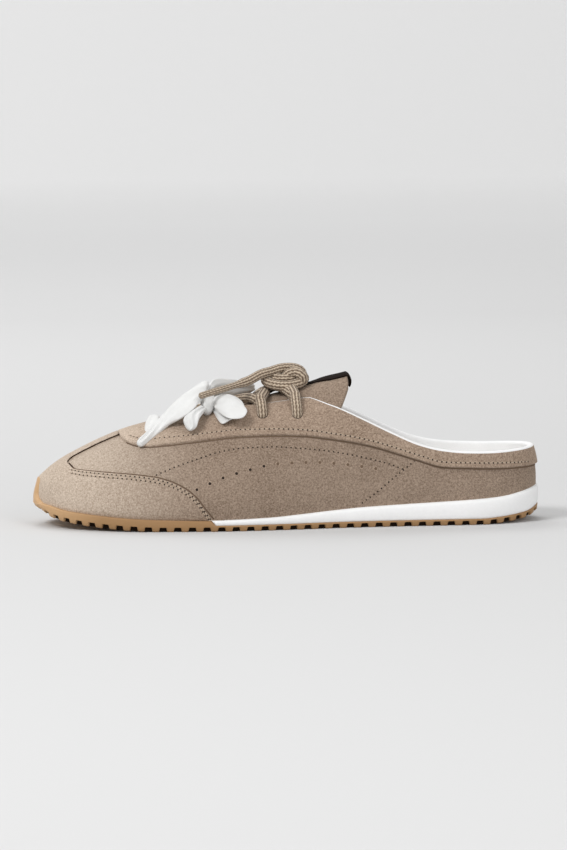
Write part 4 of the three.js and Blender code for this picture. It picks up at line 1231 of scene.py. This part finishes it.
def make_tongue():
    """The tongue, its dark label along the top and folded down over the end."""
    half_of = lambda at: tongue_half(at) * THROAT_WIDTH
    face = -WALL - GAP
    top = tongue_sheet(face, TONGUE_START, TONGUE_END, 110, 41, half_of)
    bottom = tongue_sheet(face - TONGUE, TONGUE_START, TONGUE_END, 110, 41, half_of)
    slab("tongue_suede", top, bottom, SUEDE, 0.35)
    label_half = lambda at: (0.05 + 0.13 * ramp(at, LABEL_START, 0.05)) * THROAT_WIDTH
    upper_face = tongue_sheet(face + 0.8, LABEL_START, LABEL_END, 50, 15, label_half)
    lower_face = tongue_sheet(face + 0.1, LABEL_START, LABEL_END, 50, 15, label_half)
    turn = np.linspace(0, LABEL_FOLD, 16)[1:]
    upper_face = np.concatenate([upper_face, folded(upper_face[-1], turn, 2.8, 4.2)])
    lower_face = np.concatenate([lower_face, folded(lower_face[-1], turn, 1.6, 3.4)])
    slab("tongue_label_band", upper_face, lower_face, LABEL, 0.5)


FOOTBED_FRONT, FOOTBED_BACK = 0.035, 0.9965
FOOTBED_RISE = 4


def make_insole():
    """The white footbed, from one inner wall to the other and a little dished."""
    at = row_shares(90, np.array([]))
    at = at[(at > FOOTBED_FRONT) & (at < FOOTBED_BACK)]
    height = feather_height(at) + FOOTBED_RISE + 2 * ramp(at, 0.4, 0.3)
    up = up_at_height(at, height + 1.5)
    near, far = (skin(at, up, side, -WALL - 0.8) for side in (-1, 1))
    across = np.linspace(0, 1, 33)[None, :, None]
    top = near[:, None] * (1 - across) + far[:, None] * across
    top[..., 2] = height[:, None] + 1.2 * np.abs(2 * across[..., 0] - 1) ** 3 - 0.4
    bottom = top.copy()
    bottom[..., 2] = feather_height(at)[:, None] + 0.3
    slab("white_footbed", top, bottom, FOOTBED, 0.1)


# Laces.
def smooth_path(points, count, closed=False):
    """A curve through points, each span a cubic whose slopes come from the points beside it."""
    p = np.asarray(points, dtype=float)
    if closed:
        p = np.concatenate([p[-1:], p, p[:2]])
    else:
        p = np.concatenate([2 * p[:1] - p[1:2], p, 2 * p[-1:] - p[-2:-1]])
    spans = len(p) - 3
    fine = np.linspace(0, spans, spans * 24 + 1)
    i = np.minimum(fine.astype(int), spans - 1)
    t = (fine - i)[:, None]
    a, b, c, d = p[i], p[i + 1], p[i + 2], p[i + 3]
    q = 0.5 * (2 * b + (c - a) * t + (2 * a - 5 * b + 4 * c - d) * t**2 + (3 * b - a - 3 * c + d) * t**3)
    walked = walked_along(q)
    steps = np.linspace(0, walked[-1], count + 1)
    return at_lengths(steps[:-1] if closed else steps, walked, q), walked[-1]


def strand(name, points, across, radius=LACE / 2, closed=False, taper=None, flat=1.0):
    """A round lace along a smooth path: circles square to it, set by one crosswise direction."""
    _, length = smooth_path(points, 8, closed)
    count = max(16, int(length / 0.6))
    path, _ = smooth_path(points, count, closed)
    if closed:
        run = unit(np.roll(path, -1, axis=0) - np.roll(path, 1, axis=0))
    else:
        run = unit(np.gradient(path, axis=0))
    first = unit(np.cross(run, np.asarray(across, dtype=float)[None]))
    second = np.cross(run, first)
    turn = np.linspace(0, 2 * math.pi, AROUND_LACE + 1)
    size = np.full(len(path), radius)
    if not closed:
        walked = np.linspace(0, length, len(path))
        for ahead in (walked, length - walked):
            size = size * rounded(ramp(ahead, 0, radius * 0.7))
    if taper is not None:
        size = size * taper(np.linspace(0, 1, len(path)))
    ring = (
        path[:, None]
        + first[:, None] * (size[:, None] * np.cos(turn)[None])[..., None]
        + second[:, None] * (size[:, None] * flat * np.sin(turn)[None])[..., None]
    )
    if closed:
        ring = np.concatenate([ring, ring[:1]])
    u = np.linspace(0, 1, AROUND_LACE + 1)[None, :]
    v = np.linspace(0, length / (2 * math.pi * LACE / 2), len(ring))[:, None]
    uv = np.stack(np.broadcast_arrays(u, v), axis=-1).reshape(-1, 2)
    faces = grid_faces(len(ring), AROUND_LACE + 1, flip=True)
    return mesh_object(name, ring.reshape(-1, 3), faces, LACE_BRAID, uv=uv, merge=2e-6)


# Each lace row's share of the length, and how far its bar leans towards the heel.
HOLES = [(0.315, 0.0), (0.382, 0.0), (0.449, 3.0), (0.516, -2.0)]
LACE_OVER = ON_OVERLAY + GAP + LACE / 2
LACE_UNDER = -WALL - GAP + LACE / 2 + 0.2
BAR_RADIUS = LACE * 0.55
LACE_MOUTH = [(2.9, -0.1), (2.75, 0.12), (2.3, 0.1), (0.0, 0.05)]


def on_upper(at, half, side, lift):
    """A point a lift above the upper, at a distance from its ridge line."""
    return skin(at, up_at_half(at, half, side), np.array(side), lift)


def make_lace_bars():
    """The bars over the throat, out of one hole and into the opposite one, and the crossings."""
    for number, (at, lean) in enumerate(HOLES, start=1):
        edge = throat_half(at) * THROAT_WIDTH
        hole = edge + HOLE_SETBACK
        rows = [
            (hole + 1.2, -3.2),
            (hole + 1.2, 0.2),
            (hole - 0.8, LACE_OVER - 1.1),
            (hole - 4.0, LACE_OVER),
            (edge, LACE_OVER + 0.1),
        ]
        near, far = ([on_upper(at, half, side, lift) for half, lift in rows] for side in (-1, 1))
        top = on_upper(at + lean / LENGTH, 1.0, -1, LACE_UNDER + 0.3 + tongue_arch(at))
        strand(f"lace_bar_{number}", near + [top] + far[::-1], (1, 0, 0), radius=BAR_RADIUS)
    shares = [at for at, _ in HOLES]
    for number, (before, at) in enumerate(zip(shares[:-1], shares[1:]), start=1):
        start_half, stop_half = (throat_half(share) * THROAT_WIDTH for share in (before, at))
        between = (before + at) / 2
        points = [
            on_upper(before, start_half + 0.5, 1, -1.5),
            on_upper(before + 0.01, start_half - 3.5, 1, LACE_UNDER + 0.6 + tongue_arch(before)),
            on_upper(between, 2.0, 1, LACE_UNDER + 0.5 + tongue_arch(between)),
            on_upper(at - 0.01, stop_half - 3.5, -1, LACE_UNDER + 0.6 + tongue_arch(at)),
            on_upper(at, stop_half + 0.5, -1, -1.5),
        ]
        strand(f"lace_crossing_{number}", points, (0, 0, 1))


# The knot's strands, as points along each.
KNOT_RING = [
    (9.5, -4, 75.5), (5.5, -9.5, 73.4), (-1, -11.5, 72.5), (-7.5, -9, 73.3), (-10.5, -4, 75.2),
    (-7, 2, 77.8), (0, 4, 79.2), (7, 1.5, 78.3),
]
KNOT_LOOP = [(-0.5, -3.5, 75.5), (1.5, -6, 78.5), (5.5, -8.5, 79.3), (8.5, -9, 77), (8.5, -7, 73.5)]
KNOT_COIL = [
    (5.5, -3.5, 76.8), (1.5, -7, 76.2), (-4.5, -6, 76.2), (-6.5, -2.5, 77.2), (-1.5, 0.5, 78.4),
    (4, 0, 78),
]
LACE_END = [
    (9.5, -1, 76.5), (8, 0, 79.5), (4, -1, 81.1), (-2, -3, 81.2), (-8, -5.5, 79.8), (-13.5, -8, 78.5),
    (-20, -11, 75.5), (-27, -14, 73.5), (-37, -17.5, 71), (-47, -20, 68.3),
]


def make_lace_holes():
    """A dish of painted shade at the mouth of each lace hole, just over the band and round the lace."""
    places = []
    for side in (-1, 1):
        at = np.array([share for share, _ in HOLES])
        half = throat_half(at) * THROAT_WIDTH + HOLE_SETBACK + 1.0
        up = up_at_half(at, half, side)
        out = skin_normal(at, up, side)
        run = unit(np.cross(out, np.array([0.0, 0.0, 1.0])))
        places.append((skin(at, up, side, ON_OVERLAY + 0.06), out, run))
    mouth, faces = dish_template(LACE_MOUTH)
    stamp("lace_hole_shade", mouth, faces, places, HOLE_SHADE)


def make_knot():
    """The knot's oval ring, the loop through it and the one loose end with its bare tip."""
    ring = strand("lace_knot_ring", KNOT_RING, (0, 0, 1), radius=BAR_RADIUS, closed=True)
    strand("lace_knot_loop", KNOT_LOOP, (0, 1, 0), radius=BAR_RADIUS)
    strand("lace_knot_coil", KNOT_COIL, (0, 0, 1), closed=True)
    thin = lambda t: 1 - 0.3 * ramp(t, 0.6, 0.06)
    end = strand("lace_end_braid", LACE_END, (0, 1, 0), taper=thin, flat=0.95)
    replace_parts(ring, "lace_knot")
    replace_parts(end, "lace_end")


# Ribbon: each row is a cut across the tape, from one edge to the other, with its thickness.
BOW_KNOT = [
    (-45, -8, 67, -45.5, -11, 61, 4), (-43, -7, 68, -43.5, -14, 58.5, 7),
    (-39.5, -7, 68, -40.5, -14, 58.5, 7), (-38, -8, 66.5, -38.5, -11, 61, 4),
]
BOW_TAIL = [
    (-40, -3, 75.5, -42, -10, 68.5, 2), (-43.5, -4, 74.5, -46.5, -16.5, 65, 2.5),
    (-49.5, -5, 71, -51.5, -20, 60, 2.5), (-56.5, -5, 66, -57, -19, 56.5, 2.5),
    (-63, -6, 59.5, -62.5, -16, 53.5, 2.5), (-68.5, -10, 54, -67.5, -18, 49.5, 2.5),
    (-74, -16.5, 49.5, -72, -21.5, 46, 3), (-78, -21, 47, -76.5, -25, 43.5, 3.5),
    (-80, -23.5, 45.5, -79, -26, 43, 2.5),
]
NEAR_LOOP = [
    (-38.5, -10, 66.5, -38.5, -12, 62.5, 1.6), (-35.5, -14.5, 68.5, -36, -23, 59.5, 1.4),
    (-31.5, -16.5, 69, -31, -30.5, 57.5, 1.4), (-28, -17.5, 68, -25, -31.5, 58, 1.4),
    (-26, -15.5, 66.5, -22.5, -29.5, 60.5, 1.4), (-27.5, -13, 65, -24.5, -26.5, 60, 1.4),
    (-31, -12.5, 65.2, -31, -26.5, 56.5, 1.4), (-35.5, -11.5, 64.5, -35.5, -25, 54.5, 1.4),
    (-38.5, -8, 62.5, -38.5, -12, 59, 1.6),
]
FAR_LOOP = [
    (-41, -3, 72, -40.5, -5, 68.5, 1.6), (-37, 1, 75.5, -35, 3, 67, 1.4),
    (-28.5, 5, 75, -26, 8, 66, 1.4), (-20.5, 8, 73.5, -18, 11, 67.5, 1.4),
    (-16.5, 11.5, 72, -15.5, 14, 68, 1.4), (-19.5, 14.5, 70.5, -18.5, 18, 66, 1.4),
    (-27, 13, 70.5, -24.5, 18, 65, 1.4), (-35, 8, 69.5, -34.5, 11, 64, 1.4),
    (-40, 2, 68, -40, 2, 64.5, 1.6),
]
SHORT_TAIL = [
    (-45.5, -16, 63.5, -42.5, -15, 61.5, 1.6), (-51, -21, 60.5, -45, -20.5, 59, 2),
    (-55, -23.5, 57, -47, -24.5, 57, 2.4), (-54.5, -25, 53.5, -48.5, -26, 53, 2.6),
    (-52.8, -26, 51, -51, -26.5, 51, 2),
]
FAR_TAIL = [
    (-65, -4, 53.5, -65.5, -12, 49.5, 3), (-67.5, 0, 56.5, -70, -15, 48, 5.5),
    (-71.5, -1, 56, -74, -14, 48.5, 5.5), (-74, -5, 54, -75, -12, 50, 3.5),
]


def ribbon(name, rows, folds, crease, puff):
    """Soft tape through a table of cuts: a puffed oval section with lengthwise folds."""
    table = np.array(rows, dtype=float)
    count, around = 64, 40
    a, _ = smooth_path(table[:, 0:3], count)
    b, _ = smooth_path(table[:, 3:6], count)
    share = np.linspace(0, 1, count + 1)
    thick = np.interp(share, np.linspace(0, 1, len(table)), table[:, 6]) * puff
    wide = b - a
    run = unit(np.gradient((a + b) / 2, axis=0))
    out = unit(np.cross(run, wide))
    turn = np.linspace(0, 2 * math.pi, around + 1)[:-1]
    across = 0.5 - 0.5 * np.cos(turn)
    rise = np.sign(np.sin(turn)) * np.abs(np.sin(turn)) ** 0.7
    close = rounded(ramp(np.minimum(share, 1 - share), 0, 0.06))
    wave = np.cos(2 * math.pi * folds * across[None] + 3.0 * np.sin(5.0 * share)[:, None])
    height = rise[None] * (1 + crease * wave) * (thick * close / 2)[:, None]
    spread = (across[None] - 0.5) * (0.35 + 0.65 * close)[:, None] + 0.5
    grid = a[:, None] + wide[:, None] * spread[..., None] + out[:, None] * height[..., None]
    caps = [grid[:1].mean(axis=1, keepdims=True), grid[-1:].mean(axis=1, keepdims=True)]
    ends = [np.repeat(cap, around, axis=1) for cap in caps]
    grid = np.concatenate([ends[0], grid, ends[1]])
    faces = grid_faces(len(grid), around, wrap=True)
    piece = mesh_object(name, grid.reshape(-1, 3), faces, RIBBON_WHITE, merge=2e-6)
    face_outwards(piece)
    return piece


def make_bow():
    """The white bow: knot, two loops, the long near tail, a short tail and the far tail."""
    for name, rows, folds, crease, puff in (
        ("knot", BOW_KNOT, 2.0, 0.1, 1.0),
        ("tail", BOW_TAIL, 2.0, 0.25, 1.3),
        ("near_loop", NEAR_LOOP, 2.0, 0.2, 1.5),
        ("far_loop", FAR_LOOP, 2.0, 0.2, 1.5),
        ("short_tail", SHORT_TAIL, 2.0, 0.35, 1.2),
        ("far_tail", FAR_TAIL, 1.0, 0.1, 1.0),
    ):
        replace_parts(ribbon(f"bow_{name}", rows, folds, crease, puff), f"ribbon_{name}")


make_camera()
make_stage()
make_knot()
make_lace_bars()
make_bow()
make_upper()
make_lining()
make_band()
make_toe_cap()
make_tongue()
make_insole()
make_outsole()
make_bumper()
make_midsole()
make_stitches()
make_punched_holes()
make_seam_shade()
make_lace_holes()
for piece, node in (
    ("upper_suede", "upper"),
    ("eyestay_suede", "eyestay_band"),
    ("toe_cap_suede", "toe_cap"),
    ("tongue_suede", "tongue"),
    ("tongue_label_band", "tongue_label"),
    ("white_footbed", "insole"),
    ("gum_outsole", "outsole"),
    ("white_midsole", "midsole"),
    ("lace_bar_1", "lace_crossings"),
):
    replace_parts(bpy.data.objects[piece], node)
